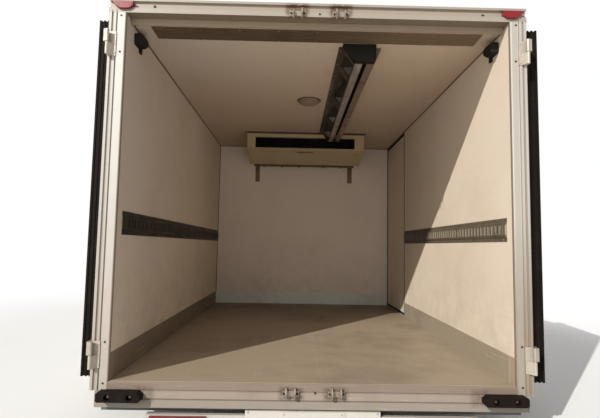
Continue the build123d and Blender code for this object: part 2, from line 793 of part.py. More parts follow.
RUNNER_X = (425.0, 365.0)
with BuildPart() as subframe_runners:
    for side in SIDES:
        run_y(
            (
                (side * RUNNER_X[0], 0),
                (side * RUNNER_X[0], RUNNER_H),
                (side * RUNNER_X[1], RUNNER_H),
                (side * RUNNER_X[1], RUNNER_H - 8),
                (side * (RUNNER_X[0] - 7), RUNNER_H - 8),
                (side * (RUNNER_X[0] - 7), 8),
                (side * RUNNER_X[1], 8),
                (side * RUNNER_X[1], 0),
            ),
            PANEL_Y,
            FRONT_OUT,
        )
keep("subframe_runners", subframe_runners.part)

CROSS_COUNT = 9
with BuildPart() as crossmembers:
    for index in range(CROSS_COUNT):
        y = PANEL_Y + index * (FRONT_OUT - PANEL_Y - 45) / (CROSS_COUNT - 1)
        run_x(
            (
                (y, RUNNER_H),
                (y + 45, RUNNER_H),
                (y + 45, RUNNER_H + 6),
                (y + 6, RUNNER_H + 6),
                (y + 6, RUNNER_H + CROSS_H - 6),
                (y + 45, RUNNER_H + CROSS_H - 6),
                (y + 45, RUNNER_H + CROSS_H),
                (y, RUNNER_H + CROSS_H),
            ),
            -OUT_X + 20,
            OUT_X - 20,
        )
keep("crossmembers", crossmembers.part)

CONSOLE_Y = (-1100.0, 0.0, 1100.0)
CONSOLE_W = 120.0
BOLT_X = 465.0
BOLT_R = 8.5
with BuildPart() as mounting_consoles:
    for side in SIDES:
        for y in CONSOLE_Y:
            run_y(
                (
                    (side * RUNNER_X[0], 0),
                    (side * (RUNNER_X[0] + 75), 0),
                    (side * (RUNNER_X[0] + 75), 12),
                    (side * (RUNNER_X[0] + 10), 12),
                    (side * (RUNNER_X[0] + 10), 110),
                    (side * RUNNER_X[0], 110),
                ),
                y - CONSOLE_W / 2,
                y + CONSOLE_W / 2,
            )
            for edge in (-1, 1):
                start = y + edge * CONSOLE_W / 2
                run_y(
                    (
                        (side * (RUNNER_X[0] + 10), 12),
                        (side * (RUNNER_X[0] + 70), 12),
                        (side * (RUNNER_X[0] + 10), 100),
                    ),
                    min(start, start - edge * 8),
                    max(start, start - edge * 8),
                )
            pin_z(side * BOLT_X, y, BOLT_R, -1, 14, mode=Mode.SUBTRACT)
keep("mounting_consoles", mounting_consoles.part)

BAR_X = 850.0
LAMP_BAR_Z = (above(-275), above(-172))
LAMP_BAR_Y = (forward(30), forward(70))
with BuildPart() as lamp_bar:
    run_x(
        (
            (LAMP_BAR_Y[0], LAMP_BAR_Z[0]),
            (LAMP_BAR_Y[0], LAMP_BAR_Z[1]),
            (LAMP_BAR_Y[1], LAMP_BAR_Z[1]),
            (LAMP_BAR_Y[1], LAMP_BAR_Z[1] - 5),
            (LAMP_BAR_Y[0] + 5, LAMP_BAR_Z[1] - 5),
            (LAMP_BAR_Y[0] + 5, LAMP_BAR_Z[0] + 5),
            (LAMP_BAR_Y[1], LAMP_BAR_Z[0] + 5),
            (LAMP_BAR_Y[1], LAMP_BAR_Z[0]),
        ),
        -BAR_X,
        BAR_X,
    )
    for side in SIDES:
        block(
            side * RUNNER_X[1],
            side * RUNNER_X[0],
            LAMP_BAR_Y[0] + 5,
            PANEL_Y,
            LAMP_BAR_Z[0] + 5,
            LAMP_BAR_Z[1] - 5,
        )
        block(side * BAR_X, side * (BAR_X + 12), *LAMP_BAR_Y, *LAMP_BAR_Z)
keep("lamp_bar", lamp_bar.part)

TAIL_X = (550.0, 839.0)
TAIL_Z = (LAMP_BAR_Z[0] + 6, LAMP_BAR_Z[1] - 6)
with BuildPart() as tail_lamps:
    for side in SIDES:
        block(side * TAIL_X[0], side * TAIL_X[1], LAMP_BAR_Y[0] - 30, LAMP_BAR_Y[0], *TAIL_Z)
        lens_faces = tail_lamps.faces().filter_by_position(Axis.Y, LAMP_BAR_Y[0] - 31, LAMP_BAR_Y[0] - 29)
        chamfer(lens_faces.sort_by(Axis.X)[0 if side < 0 else -1].edges(), 6)
keep("tail_lamps", tail_lamps.part)

with BuildPart() as plate_carrier:
    block(-350, 350, LAMP_BAR_Y[0] - 6, LAMP_BAR_Y[0], above(-262), above(-142))
    block(-165, 165, LAMP_BAR_Y[0] - 10, LAMP_BAR_Y[0] - 6, above(-255), above(-150))
keep("plate_carrier", plate_carrier.part)

with BuildPart() as side_markers:
    for side in SIDES:
        for y in (forward(450), forward(1620), forward(2790)):
            run_z(
                (
                    (side * (OUT_X + TRIM), y - 55),
                    (side * (OUT_X + TRIM + 5), y - 50),
                    (side * (OUT_X + TRIM + 5), y + 50),
                    (side * (OUT_X + TRIM), y + 55),
                ),
                above(-76),
                above(-44),
            )
keep("side_markers", side_markers.part)

with BuildPart() as door_holdbacks:
    for side in SIDES:
        x0 = OUT_X + TRIM
        block(side * x0, side * (x0 + 6), forward(1060), forward(1120), above(-100), above(-20))
        block(side * (x0 + 6), side * (x0 + 70), forward(1075), forward(1105), above(-66), above(-54))
keep("door_holdbacks", door_holdbacks.part)


# Condenser on the nose of the box

COND_Y = (FRONT_OUT, FRONT_OUT + COND_DEPTH)
COND_BEND = 110.0
OPENING_R = FAN_R + 7.0
GUARD_SIDES = 32
LOUVRES = 7
with BuildPart() as condenser_housing:
    with BuildSketch(Plane(origin=(-COND_X, 0, 0), x_dir=(0, 1, 0), z_dir=(1, 0, 0))):
        with BuildLine():
            Polyline(
                (COND_Y[0], COND_Z[0]),
                (COND_Y[1] - 60, COND_Z[0]),
                (COND_Y[1], COND_Z[0] + 60),
                (COND_Y[1], COND_Z[1] - COND_BEND),
            )
            Polyline(
                (COND_Y[1], COND_Z[1] - COND_BEND),
                *(
                    (
                        COND_Y[1] - COND_BEND + COND_BEND * cos(radians(angle)),
                        COND_Z[1] - COND_BEND + COND_BEND * sin(radians(angle)),
                    )
                    for angle in (22.5, 45, 67.5)
                ),
                (COND_Y[1] - COND_BEND, COND_Z[1]),
                (COND_Y[0], COND_Z[1]),
                (COND_Y[0], COND_Z[0]),
            )
        make_face()
    extrude(amount=2 * COND_X)
    corner_edges = condenser_housing.edges().filter_by(Axis.Z).sort_by(Axis.Y)[-2:]
    chamfer(corner_edges, 24)
    block(
        -COND_X + 8,
        COND_X - 8,
        COND_Y[0] + 6,
        COND_Y[1] - 8,
        COND_Z[0] + 68,
        COND_Z[1] - 100,
        mode=Mode.SUBTRACT,
    )
    for side in SIDES:
        facet_y(side * FAN_X, FAN_Z, OPENING_R, COND_Y[1] - 20, COND_Y[1] + 5, GUARD_SIDES, Mode.SUBTRACT)
        louvre_plane = Plane(
            origin=(side * (COND_X - 20), FRONT_OUT + 140, FAN_Z), x_dir=(0, 1, 0), z_dir=(side, 0, 0)
        )
        with BuildSketch(louvre_plane):
            with GridLocations(1, 36, 1, LOUVRES):
                Rectangle(180, 16)
        extrude(amount=40, mode=Mode.SUBTRACT)
keep("condenser_housing", condenser_housing.part)

with BuildPart() as condenser_coil:
    block(-COND_X + 8, COND_X - 8, COND_Y[0] + 120, COND_Y[0] + 170, COND_Z[0] + 68, COND_Z[1] - 100)
    for side in SIDES:
        facet_y(side * FAN_X, FAN_Z, 45, COND_Y[0] + 170, COND_Y[1] - 82, sides=12)
        pin_y(side * FAN_X, FAN_Z, PIN_R, COND_Y[1] - 82, COND_Y[1] - 40)
keep("condenser_coil", condenser_coil.part)

GUARD_HUB = 42.0
with BuildPart() as fan_guards:
    for side in SIDES:
        with BuildSketch(Plane(origin=(0, COND_Y[1], 0), x_dir=(1, 0, 0), z_dir=(0, -1, 0))):
            with Locations((side * FAN_X, FAN_Z)):
                RegularPolygon(OPENING_R + 9, GUARD_SIDES)
                RegularPolygon(OPENING_R + 1, GUARD_SIDES, mode=Mode.SUBTRACT)
                RegularPolygon(GUARD_HUB, 12)
                Rectangle(2 * OPENING_R + 6, 6)
                Rectangle(6, 2 * OPENING_R + 6)
        extrude(amount=-5)
keep("fan_guards", fan_guards.part)

BLADES = 6
BLADE_PITCH = radians(26)
for side, name in sided("condenser_fan"):
    with BuildPart() as fan:
        facet_y(side * FAN_X, FAN_Z, 48, COND_Y[1] - 70, COND_Y[1] - 20, sides=14)
        for index in range(BLADES):
            turn = radians(index * 360 / BLADES)
            outward = Vector(cos(turn), 0, sin(turn))
            across = Vector(-sin(turn), 0, cos(turn))
            facing = Vector(0, -cos(BLADE_PITCH), 0) + across * sin(BLADE_PITCH)
            with BuildSketch(Plane(origin=(side * FAN_X, COND_Y[1] - 45, FAN_Z), x_dir=outward, z_dir=facing)):
                with BuildLine():
                    Polyline((40, -14), (FAN_R - 20, -34), (FAN_R - 6, 8), (FAN_R - 18, 34), (40, 16), close=True)
                make_face()
            extrude(amount=1.5, both=True)
        pin_y(side * FAN_X, FAN_Z, PIN_R + PIN_PLAY, COND_Y[1] - 71, COND_Y[1] - 38, mode=Mode.SUBTRACT)
    keep(name, fan.part)


# Rear doors, built closed on the right and turned to where they stand open


def lipped_frame(plane, width, height, depth):
    """Rubber edge round a door leaf: three lips across its thickness with grooves between."""
    layers = 5
    for index in range(layers):
        inset = LIP_DEPTH * (index % 2)
        base = plane.offset(index * depth / layers)
        with BuildSketch(base) as ring:
            Rectangle(width - 2 * inset, height - 2 * inset)
            Rectangle(width - 2 * GASKET_W, height - 2 * GASKET_W, mode=Mode.SUBTRACT)
        extrude(ring.sketch, amount=depth / layers)


DOOR_MID = ((DOOR_X[0] + DOOR_X[1]) / 2, (DOOR_Z[0] + DOOR_Z[1]) / 2)
DOOR_SIZE = (DOOR_X[1] - DOOR_X[0], DOOR_Z[1] - DOOR_Z[0])
leaf_plane = Plane(origin=(DOOR_MID[0], REAR_Y, DOOR_MID[1]), x_dir=(-1, 0, 0), z_dir=(0, 1, 0))

with BuildPart() as closed_panel:
    with BuildSketch(leaf_plane):
        Rectangle(DOOR_SIZE[0] - 2 * GASKET_W, DOOR_SIZE[1] - 2 * GASKET_W)
    extrude(amount=DOOR_T)
    with BuildSketch(leaf_plane.offset(DOOR_T)) as door_inset:
        Rectangle(DOOR_SIZE[0] - 150, DOOR_SIZE[1] - 150)
        chamfer(door_inset.vertices(), 24)
    extrude(amount=-5, mode=Mode.SUBTRACT)

with BuildPart() as closed_gasket:
    lipped_frame(leaf_plane, *DOOR_SIZE, DOOR_T)

with BuildPart() as closed_straps:
    plate = (DOOR_AXIS[1] + STRAP_SET, DOOR_AXIS[1] + STRAP_SET + STRAP_T)
    for z0, z1 in HINGE_SPANS:
        low = (z0 + z1) / 2 + 1
        pin_z(*DOOR_AXIS, KNUCKLE_R, low, z1)
        run_z(
            (
                (DOOR_AXIS[0] + KNUCKLE_R - 1, DOOR_AXIS[1] + 3),
                (DOOR_AXIS[0] + 3, plate[1]),
                (DOOR_X[1] - STRAP_L, plate[1]),
                (DOOR_X[1] - STRAP_L, plate[0]),
                (DOOR_AXIS[0] - 14, plate[0]),
                (DOOR_AXIS[0] - KNUCKLE_R, DOOR_AXIS[1] + 3),
            ),
            low,
            z1,
        )
        block(DOOR_X[1] - STRAP_L, DOOR_X[1] - 4, plate[1], REAR_Y, low, z1)
        pin_z(*DOOR_AXIS, PIN_R + PIN_PLAY, low - 1, z1 + 1, mode=Mode.SUBTRACT)

ROD_Y = REAR_Y - ROD_OFF
HANDLE_Z = (above(868), above(898))
BEARING_Z = (above(60), above(640), above(1130), under(60))
HANDLE_Y = (REAR_Y - 27, REAR_Y - 20)
with BuildPart() as closed_lock:
    facet_z(ROD_X, ROD_Y, ROD_R, *ROD_Z, sides=10)
    for z0, z1 in ((ROD_Z[0], ROD_Z[0] + 22), (ROD_Z[1] - 22, ROD_Z[1])):
        block(ROD_X - 14, ROD_X + 14, ROD_Y - 10, ROD_Y + 7, z0, z1)
    for z in BEARING_Z:
        block(ROD_X - 34, ROD_X + 34, REAR_Y - 5, REAR_Y, z - 28, z + 28)
        block(ROD_X - 17, ROD_X + 17, ROD_Y - 10, REAR_Y - 5, z - 18, z + 18)
    facet_z(ROD_X, ROD_Y, 10.5, HANDLE_Z[0] - 18, HANDLE_Z[1] + 18, sides=8)
    run_y(
        (
            (ROD_X, HANDLE_Z[0]),
            (ROD_X, HANDLE_Z[1]),
            (ROD_X + 120, HANDLE_Z[1]),
            (ROD_X + 350, HANDLE_Z[1] - 10),
            (ROD_X + 356, HANDLE_Z[1] - 18),
            (ROD_X + 350, HANDLE_Z[0] - 4),
            (ROD_X + 120, HANDLE_Z[0]),
        ),
        *HANDLE_Y,
    )
    block(ROD_X + 296, ROD_X + 370, REAR_Y - 6, REAR_Y, HANDLE_Z[0] - 44, HANDLE_Z[1] + 16)
    block(ROD_X + 310, ROD_X + 330, HANDLE_Y[1], REAR_Y - 6, HANDLE_Z[0] - 16, HANDLE_Z[1] - 10)
    block(ROD_X + 300, ROD_X + 340, *HANDLE_Y, HANDLE_Z[0] - 24, HANDLE_Z[0] - 2)

DOOR_PIECES = (
    ("panel", closed_panel.part),
    ("gasket", closed_gasket.part),
    ("hinges", closed_straps.part),
    ("lock", closed_lock.part),
)
right_axis = Axis((*DOOR_AXIS, 0), (0, 0, 1))
for side, door in sided("rear_door"):
    for piece, closed in DOOR_PIECES:
        turned = closed.rotate(right_axis, DOOR_TURN[side])
        keep(door + "_" + piece, turned if side > 0 else mirror(turned, about=Plane.YZ))


# Side door, closed, hinged at its front edge on the outside

SIDE_SIZE = (SIDE_LEAF_Y[1] - SIDE_LEAF_Y[0], SIDE_LEAF_Z[1] - SIDE_LEAF_Z[0])
SIDE_T = SIDE_LEAF_X[1] - SIDE_LEAF_X[0]
side_plane = Plane(
    origin=(SIDE_LEAF_X[0], sum(SIDE_LEAF_Y) / 2, sum(SIDE_LEAF_Z) / 2), x_dir=(0, 1, 0), z_dir=(1, 0, 0)
)

with BuildPart() as side_door_panel:
    with BuildSketch(side_plane):
        Rectangle(SIDE_SIZE[0] - 2 * GASKET_W, SIDE_SIZE[1] - 2 * GASKET_W)
    extrude(amount=SIDE_T)
    with BuildSketch(side_plane) as side_inset:
        Rectangle(SIDE_SIZE[0] - 110, SIDE_SIZE[1] - 110)
        chamfer(side_inset.vertices(), 24)
    extrude(amount=4, mode=Mode.SUBTRACT)
keep("side_door_panel", side_door_panel.part)

with BuildPart() as side_door_gasket:
    lipped_frame(side_plane, *SIDE_SIZE, SIDE_T)
keep("side_door_gasket", side_door_gasket.part)

SIDE_HINGE_H = 90.0
with BuildPart() as side_door_hinges:
    for z in SIDE_HINGES:
        low = z + SIDE_HINGE_H / 2 + 1
        high = z + SIDE_HINGE_H
        pin_z(*SIDE_AXIS, KNUCKLE_R, low, high)
        block(SIDE_AXIS[0] - 4, SIDE_AXIS[0] + 4, SIDE_AXIS[1] - 190, SIDE_AXIS[1], low, high)
        block(SIDE_LEAF_X[1], SIDE_AXIS[0] - 4, SIDE_AXIS[1] - 190, SIDE_LEAF_Y[1] - 4, low, high)
        pin_z(*SIDE_AXIS, PIN_R + PIN_PLAY, low - 1, high + 1, mode=Mode.SUBTRACT)
keep("side_door_hinges", side_door_hinges.part)

with BuildPart() as side_frame_hinges:
    for z in SIDE_HINGES:
        low = z
        middle = z + SIDE_HINGE_H / 2
        block(
            OUT_X + TRIM,
            OUT_X + TRIM + 6,
            SIDE_AXIS[1] + 13,
            CORNER_LEG[1] - 20,
            low,
            z + SIDE_HINGE_H,
        )
        run_z(
            (
                (OUT_X + TRIM, SIDE_AXIS[1] + 13),
                (OUT_X + TRIM, SIDE_AXIS[1] + 2),
                (SIDE_AXIS[0] - KNUCKLE_R + 2, SIDE_AXIS[1]),
                (SIDE_AXIS[0], SIDE_AXIS[1] + KNUCKLE_R - 2),
                (OUT_X + TRIM + 6, SIDE_AXIS[1] + 16),
            ),
            low,
            middle - 2,
        )
        pin_z(*SIDE_AXIS, KNUCKLE_R, low, middle - 2)
        pin_z(*SIDE_AXIS, PIN_R, middle - 2, z + SIDE_HINGE_H)
keep("side_frame_hinges", side_frame_hinges.part)

SIDE_ROD_Y = SIDE_LEAF_Y[0] + 70
SIDE_ROD_X = OUT_X + ROD_OFF
with BuildPart() as side_door_lock:
    facet_z(SIDE_ROD_X, SIDE_ROD_Y, ROD_R, SIDE_LEAF_Z[0] + 20, SIDE_LEAF_Z[1] - 20)
    for z in (above(120), above(700), above(1250), under(120)):
        block(SIDE_LEAF_X[1], SIDE_ROD_X + 14, SIDE_ROD_Y - 17, SIDE_ROD_Y + 17, z - 18, z + 18)
        block(SIDE_LEAF_X[1], SIDE_LEAF_X[1] + 5, SIDE_ROD_Y - 34, SIDE_ROD_Y + 34, z - 28, z + 28)
    block(SIDE_ROD_X + 6, SIDE_ROD_X + 14, SIDE_ROD_Y, SIDE_ROD_Y + 320, above(980), above(1010))
    block(SIDE_LEAF_X[1], SIDE_ROD_X + 14, SIDE_ROD_Y + 290, SIDE_ROD_Y + 330, above(964), above(990))
keep("side_door_lock", side_door_lock.part)


# One file a piece

os.makedirs("parts", exist_ok=True)
for name, part in nodes.items():
    export_step(part, "parts/" + name + ".step")
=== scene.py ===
import json
from math import cos, pi, radians, sin

import bmesh
import bpy
from mathutils import Matrix, Vector


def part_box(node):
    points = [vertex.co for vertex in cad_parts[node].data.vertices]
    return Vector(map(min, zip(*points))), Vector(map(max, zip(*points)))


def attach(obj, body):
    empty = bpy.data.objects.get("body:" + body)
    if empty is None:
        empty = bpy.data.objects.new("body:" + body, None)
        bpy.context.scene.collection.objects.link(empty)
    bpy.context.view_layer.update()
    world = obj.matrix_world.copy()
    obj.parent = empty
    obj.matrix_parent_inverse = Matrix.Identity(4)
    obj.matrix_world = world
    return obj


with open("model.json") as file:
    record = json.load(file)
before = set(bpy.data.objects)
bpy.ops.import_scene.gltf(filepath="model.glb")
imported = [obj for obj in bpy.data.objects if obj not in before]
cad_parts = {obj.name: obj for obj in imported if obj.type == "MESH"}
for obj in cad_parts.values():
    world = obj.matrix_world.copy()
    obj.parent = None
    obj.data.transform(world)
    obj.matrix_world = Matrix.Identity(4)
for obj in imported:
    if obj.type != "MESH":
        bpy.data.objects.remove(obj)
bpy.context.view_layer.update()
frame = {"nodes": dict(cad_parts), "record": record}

bl_info = {
    "name": "Refrigerated Truck Body",
    "version": (1, 0, 0),
    "blender": (4, 5, 0),
    "location": "View3D > Sidebar > Truck Body",
    "description": "Finishes and fits out an insulated truck body with open rear doors",
    "category": "Object",
}

MM = 0.001

# Places read from the frame
FLOOR_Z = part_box("load_floor")[1][2]
REAR_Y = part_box("rear_sill")[0][1]
WALL_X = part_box("load_floor")[1][0]
CEIL_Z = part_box("roof_panel")[0][2]
FRONT_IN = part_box("front_wall")[0][1]
OUT_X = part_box("roof_panel")[1][0]
FRAME_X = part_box("rear_header")[1][0]
RAIL_MID = 0.5 * (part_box("load_rails")[0][2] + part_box("load_rails")[1][2])
JAMB_INSET = 0.018
JAMB_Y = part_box("side_door_frame")[0][1] + JAMB_INSET

SIDES = (-1, 1)
LABEL = {-1: "left", 1: "right"}
OUTWARD = {-1: "-x", 1: "+x"}
INWARD = {-1: "+x", 1: "-x"}
X, Y, Z = Vector((1, 0, 0)), Vector((0, 1, 0)), Vector((0, 0, 1))

# Half sizes that take in the whole body along an axis
ALL_X, ALL_Y, ALL_Z = 1.3, 3.0, 3.0


def forward(distance):
    """Y of a place so many millimetres forward of the rear frame's face."""
    return REAR_Y + distance * MM


def above(height):
    """Z of a place so many millimetres above the load floor."""
    return FLOOR_Z + height * MM


def under(drop):
    """Z of a place so many millimetres below the ceiling."""
    return CEIL_Z - drop * MM


def middle(low, high):
    return 0.5 * (low + high)


def spaced(start, end, pitch):
    """Places from start to end, evenly spread at about the pitch."""
    count = max(1, round((end - start) / pitch))
    return [start + (end - start) * index / count for index in range(count + 1)]


# Nodes


def feed(tree, socket, value):
    """A socket linked to another socket, or set to a number, a vector or a colour of three parts."""
    if isinstance(value, bpy.types.NodeSocket):
        tree.links.new(value, socket)
    elif socket.type == "RGBA":
        socket.default_value = (*value, 1.0)
    else:
        socket.default_value = value


def fill(tree, node, inputs):
    """A node with its inputs fed by name; underscores stand for spaces."""
    for key, value in inputs.items():
        feed(tree, node.inputs[key.replace("_", " ")], value)
    return node


def new_node(tree, kind, **inputs):
    return fill(tree, tree.nodes.new(kind), inputs)


def object_place(tree):
    return tree.nodes.new("ShaderNodeTexCoord").outputs["Object"]


def noise(tree, vector, scale, detail=4.0, rough=0.55):
    """A noise texture on the given vector."""
    node = new_node(tree, "ShaderNodeTexNoise", Vector=vector, Scale=scale, Detail=detail, Roughness=rough)
    return node.outputs["Fac"]


def ramp(tree, value, low, high):
    """Value mapped smoothly from low..high to 0..1."""
    node = new_node(tree, "ShaderNodeMapRange", Value=value, From_Min=low, From_Max=high)
    node.interpolation_type = "SMOOTHSTEP"
    return node.outputs["Result"]


def span(tree, mask, low, high):
    """A value that runs evenly from low to high with a mask."""
    return new_node(tree, "ShaderNodeMapRange", Value=mask, To_Min=low, To_Max=high).outputs["Result"]


def maths(tree, operation, first, second=0.0):
    """A Math node on sockets or numbers."""
    node = tree.nodes.new("ShaderNodeMath")
    node.operation = operation
    feed(tree, node.inputs[0], first)
    feed(tree, node.inputs[1], second)
    return node.outputs[0]


def product(tree, first, *others):
    """Sockets or numbers multiplied together."""
    for other in others:
        first = maths(tree, "MULTIPLY", first, other)
    return first


def fading(tree, distance, reach):
    """1 up to a distance of nothing, falling to 0 at the reach."""
    share = maths(tree, "DIVIDE", distance, reach)
    share.node.use_clamp = True
    return maths(tree, "SUBTRACT", 1.0, share)


def split(tree, vector):
    """The X, Y and Z outputs of a vector."""
    return new_node(tree, "ShaderNodeSeparateXYZ", Vector=vector).outputs


def scaled(tree, vector, scale):
    """A vector multiplied axis by axis."""
    node = tree.nodes.new("ShaderNodeVectorMath")
    node.operation = "MULTIPLY"
    feed(tree, node.inputs[0], vector)
    feed(tree, node.inputs[1], scale)
    return node.outputs[0]


def blend(tree, factor, first, second, kind="MIX"):
    """A colour Mix node on sockets, colours or numbers."""
    node = tree.nodes.new("ShaderNodeMix")
    node.data_type = "RGBA"
    node.blend_type = kind
    for index, value in ((0, factor), (6, first), (7, second)):
        feed(tree, node.inputs[index], value)
    return node.outputs[2]


# Node groups that several pieces share


def new_group(name, kind, inputs, outputs):
    """An empty group with named inputs and outputs, and the nodes that hold them."""
    tree = bpy.data.node_groups.new(name, kind)
    for way, sockets in (("INPUT", inputs), ("OUTPUT", outputs)):
        for label, value in sockets.items():
            tree.interface.new_socket(name=label, in_out=way, socket_type="NodeSocket" + value)
    return tree, tree.nodes.new("NodeGroupInput").outputs, tree.nodes.new("NodeGroupOutput")


def make_grime_group():
    """Broad stains and fine speckle over a base colour."""
    inputs = {"Base": "Color", "Stain": "Color"}
    inputs.update({label: "Float" for label in ("Stain Amount", "Speckle Amount", "Cloud Scale")})
    outputs = {"Color": "Color", "Mask": "Float", "Height": "Float"}
    tree, given, result = new_group("grime", "ShaderNodeTree", inputs, outputs)
    place = object_place(tree)
    clouds = ramp(tree, noise(tree, place, given["Cloud Scale"], 6.0, 0.6), 0.45, 0.78)
    fine = noise(tree, place, 90.0, 5.0, 0.7)
    broad = product(tree, clouds, given["Stain Amount"])
    small = product(tree, ramp(tree, fine, 0.58, 0.74), given["Speckle Amount"])
    mask = maths(tree, "MAXIMUM", broad, small)
    colour = blend(tree, mask, given["Base"], given["Stain"])
    fill(tree, result, {"Color": colour, "Mask": mask, "Height": fine})
    return tree


def make_scuff_group():
    """Long thin scratches along one axis, in patches."""
    inputs = {"Stretch": "Vector", "Amount": "Float"}
    tree, given, result = new_group("scuffs", "ShaderNodeTree", inputs, {"Mask": "Float"})
    place = object_place(tree)
    streaks = noise(tree, scaled(tree, place, given["Stretch"]), 1.0, 5.0, 0.65)
    lines = ramp(tree, streaks, 0.56, 0.70)
    patches = ramp(tree, noise(tree, place, 3.0, 3.0), 0.40, 0.65)
    fill(tree, result, {"Mask": product(tree, lines, patches, given["Amount"])})
    return tree


def make_low_dirt_group():
    """Dirt that is thickest at a level and fades above it, broken up by noise."""
    inputs = {"Level": "Float", "Reach": "Float", "Amount": "Float"}
    tree, given, result = new_group("low_dirt", "ShaderNodeTree", inputs, {"Mask": "Float"})
    place = object_place(tree)
    height = maths(tree, "SUBTRACT", split(tree, place)["Z"], given["Level"])
    strength = fading(tree, height, given["Reach"])
    broken = ramp(tree, noise(tree, place, 7.0, 6.0, 0.7), 0.30, 0.75)
    fill(tree, result, {"Mask": product(tree, strength, broken, given["Amount"])})
    return tree


def make_patch_group():
    """A soft-edged block in space, the same left and right unless it is signed."""
    inputs = {"Centre": "Vector", "Half": "Vector", "Edge": "Float", "Signed": "Float"}
    tree, given, result = new_group("patch", "ShaderNodeTree", inputs, {"Mask": "Float"})
    place = split(tree, object_place(tree))
    centre, half = split(tree, given["Centre"]), split(tree, given["Half"])
    folded = maths(tree, "ABSOLUTE", place["X"])
    shift = maths(tree, "SUBTRACT", place["X"], folded)
    sideways = maths(tree, "ADD", folded, product(tree, shift, given["Signed"]))
    mask = 1.0
    for axis, value in (("X", sideways), ("Y", place["Y"]), ("Z", place["Z"])):
        away = maths(tree, "ABSOLUTE", maths(tree, "SUBTRACT", value, centre[axis]))
        beyond = maths(tree, "SUBTRACT", away, half[axis])
        mask = product(tree, mask, fading(tree, beyond, given["Edge"]))
    fill(tree, result, {"Mask": mask})
    return tree


def make_fastener_group():
    """A low head with a smaller flat top at each point, turned to face the way given."""
    inputs = {
        "Geometry": "Geometry", "Head Radius": "Float", "Head Height": "Float", "Sides": "Int",
        "Turn": "Vector", "Material": "Material",
    }
    top_share = 0.72
    tree, given, result = new_group("fastener_rows", "GeometryNodeTree", inputs, {"Geometry": "Geometry"})
    head = new_node(
        tree, "GeometryNodeMeshCone", Vertices=given["Sides"], Radius_Bottom=given["Head Radius"],
        Radius_Top=product(tree, given["Head Radius"], top_share), Depth=given["Head Height"],
    )
    heads = new_node(
        tree, "GeometryNodeInstanceOnPoints", Points=given["Geometry"], Instance=head.outputs["Mesh"],
        Rotation=given["Turn"],
    )
    real = new_node(tree, "GeometryNodeRealizeInstances", Geometry=heads.outputs["Instances"])
    painted = new_node(
        tree, "GeometryNodeSetMaterial", Geometry=real.outputs["Geometry"], Material=given["Material"]
    )
    fill(tree, result, {"Geometry": painted.outputs["Geometry"]})
    return tree


GROUPS = {}
GROUP_MAKERS = {
    "grime": make_grime_group,
    "scuffs": make_scuff_group,
    "low_dirt": make_low_dirt_group,
    "patch": make_patch_group,
    "fasteners": make_fastener_group,
}


def group(name):
    """A shared group, built the first time it is asked for."""
    if name not in GROUPS:
        GROUPS[name] = GROUP_MAKERS[name]()
    return GROUPS[name]


class Surface:
    """A material with one Principled shader, whose colour is built up step by step."""

    def __init__(self, name, roughness, colour, metallic=0.0, **sockets):
        self.material = bpy.data.materials.new(name)
        self.material.use_nodes = True
        self.tree = self.material.node_tree
        self.shader = self.tree.nodes["Principled BSDF"]
        self.place = object_place(self.tree)
        self.colour = colour
        fill(self.tree, self.shader, {"Roughness": roughness, "Metallic": metallic, **sockets})

    def shared(self, name, **inputs):
        """A shared group set in this material."""
        node = self.tree.nodes.new("ShaderNodeGroup")
        node.node_tree = group(name)
        return fill(self.tree, node, inputs).outputs

    def cover(self, mask, tone):
        """Another tone laid over the colour where a mask shows it."""
        self.colour = blend(self.tree, mask, self.colour, tone)

    def grime(self, stain, amount, speckle, clouds=1.6):
        """Broad stains and speckle; their mask and height serve roughness and bump."""
        made = self.shared(
            "grime", Base=self.colour, Stain=stain, Stain_Amount=amount, Speckle_Amount=speckle,
            Cloud_Scale=clouds,
        )
        self.colour, self.dirty, self.height = made["Color"], made["Mask"], made["Height"]

    def scuffs(self, stretch, amount, tone):
        """Long thin scratches of another tone."""
        self.rubbed = self.shared("scuffs", Stretch=stretch, Amount=amount)["Mask"]
        self.cover(self.rubbed, tone)

    def patch(self, centre, half, tone, strength=1.0, edge=0.001, signed=0.0):
        """A block of another tone about a place."""
        mask = self.shared("patch", Centre=centre, Half=half, Edge=edge, Signed=signed)["Mask"]
        self.cover(product(self.tree, mask, strength), tone)

    def stain(self, centre, half, tone, strength):
        """Blotches of another tone about a place, the same left and right."""
        mask = self.shared("patch", Centre=centre, Half=half, Edge=0.022)["Mask"]
        blotches = ramp(self.tree, noise(self.tree, self.place, 45.0), 0.26, 0.52)
        self.cover(product(self.tree, mask, blotches, strength), tone)

    def grain(self, scale, detail=2.0):
        """A fine grain for a bump."""
        return noise(self.tree, self.place, scale, detail)

    def waves(self, direction, scale, distortion=0.0):
        """Even bands along a direction."""
        node = new_node(
            self.tree, "ShaderNodeTexWave", Vector=self.place, Scale=scale, Distortion=distortion
        )
        node.bands_direction = direction
        return node.outputs["Fac"]

    def made(self):
        """The finished material."""
        feed(self.tree, self.shader.inputs["Base Color"], self.colour)
        return self.material

    def embossed(self, height, strength, distance=0.001):
        """The finished material with a bump."""
        node = new_node(self.tree, "ShaderNodeBump", Height=height, Strength=strength, Distance=distance)
        feed(self.tree, self.shader.inputs["Normal"], node.outputs["Normal"])
        return self.made()

    def worn(self, low, high, strength, mask=None, height=None, distance=0.001):
        """The finished material: roughness low to high and a bump, that follow the grime if nothing else."""
        roughness = span(self.tree, self.dirty if mask is None else mask, low, high)
        feed(self.tree, self.shader.inputs["Roughness"], roughness)
        return self.embossed(self.height if height is None else height, strength, distance)


# Finishes


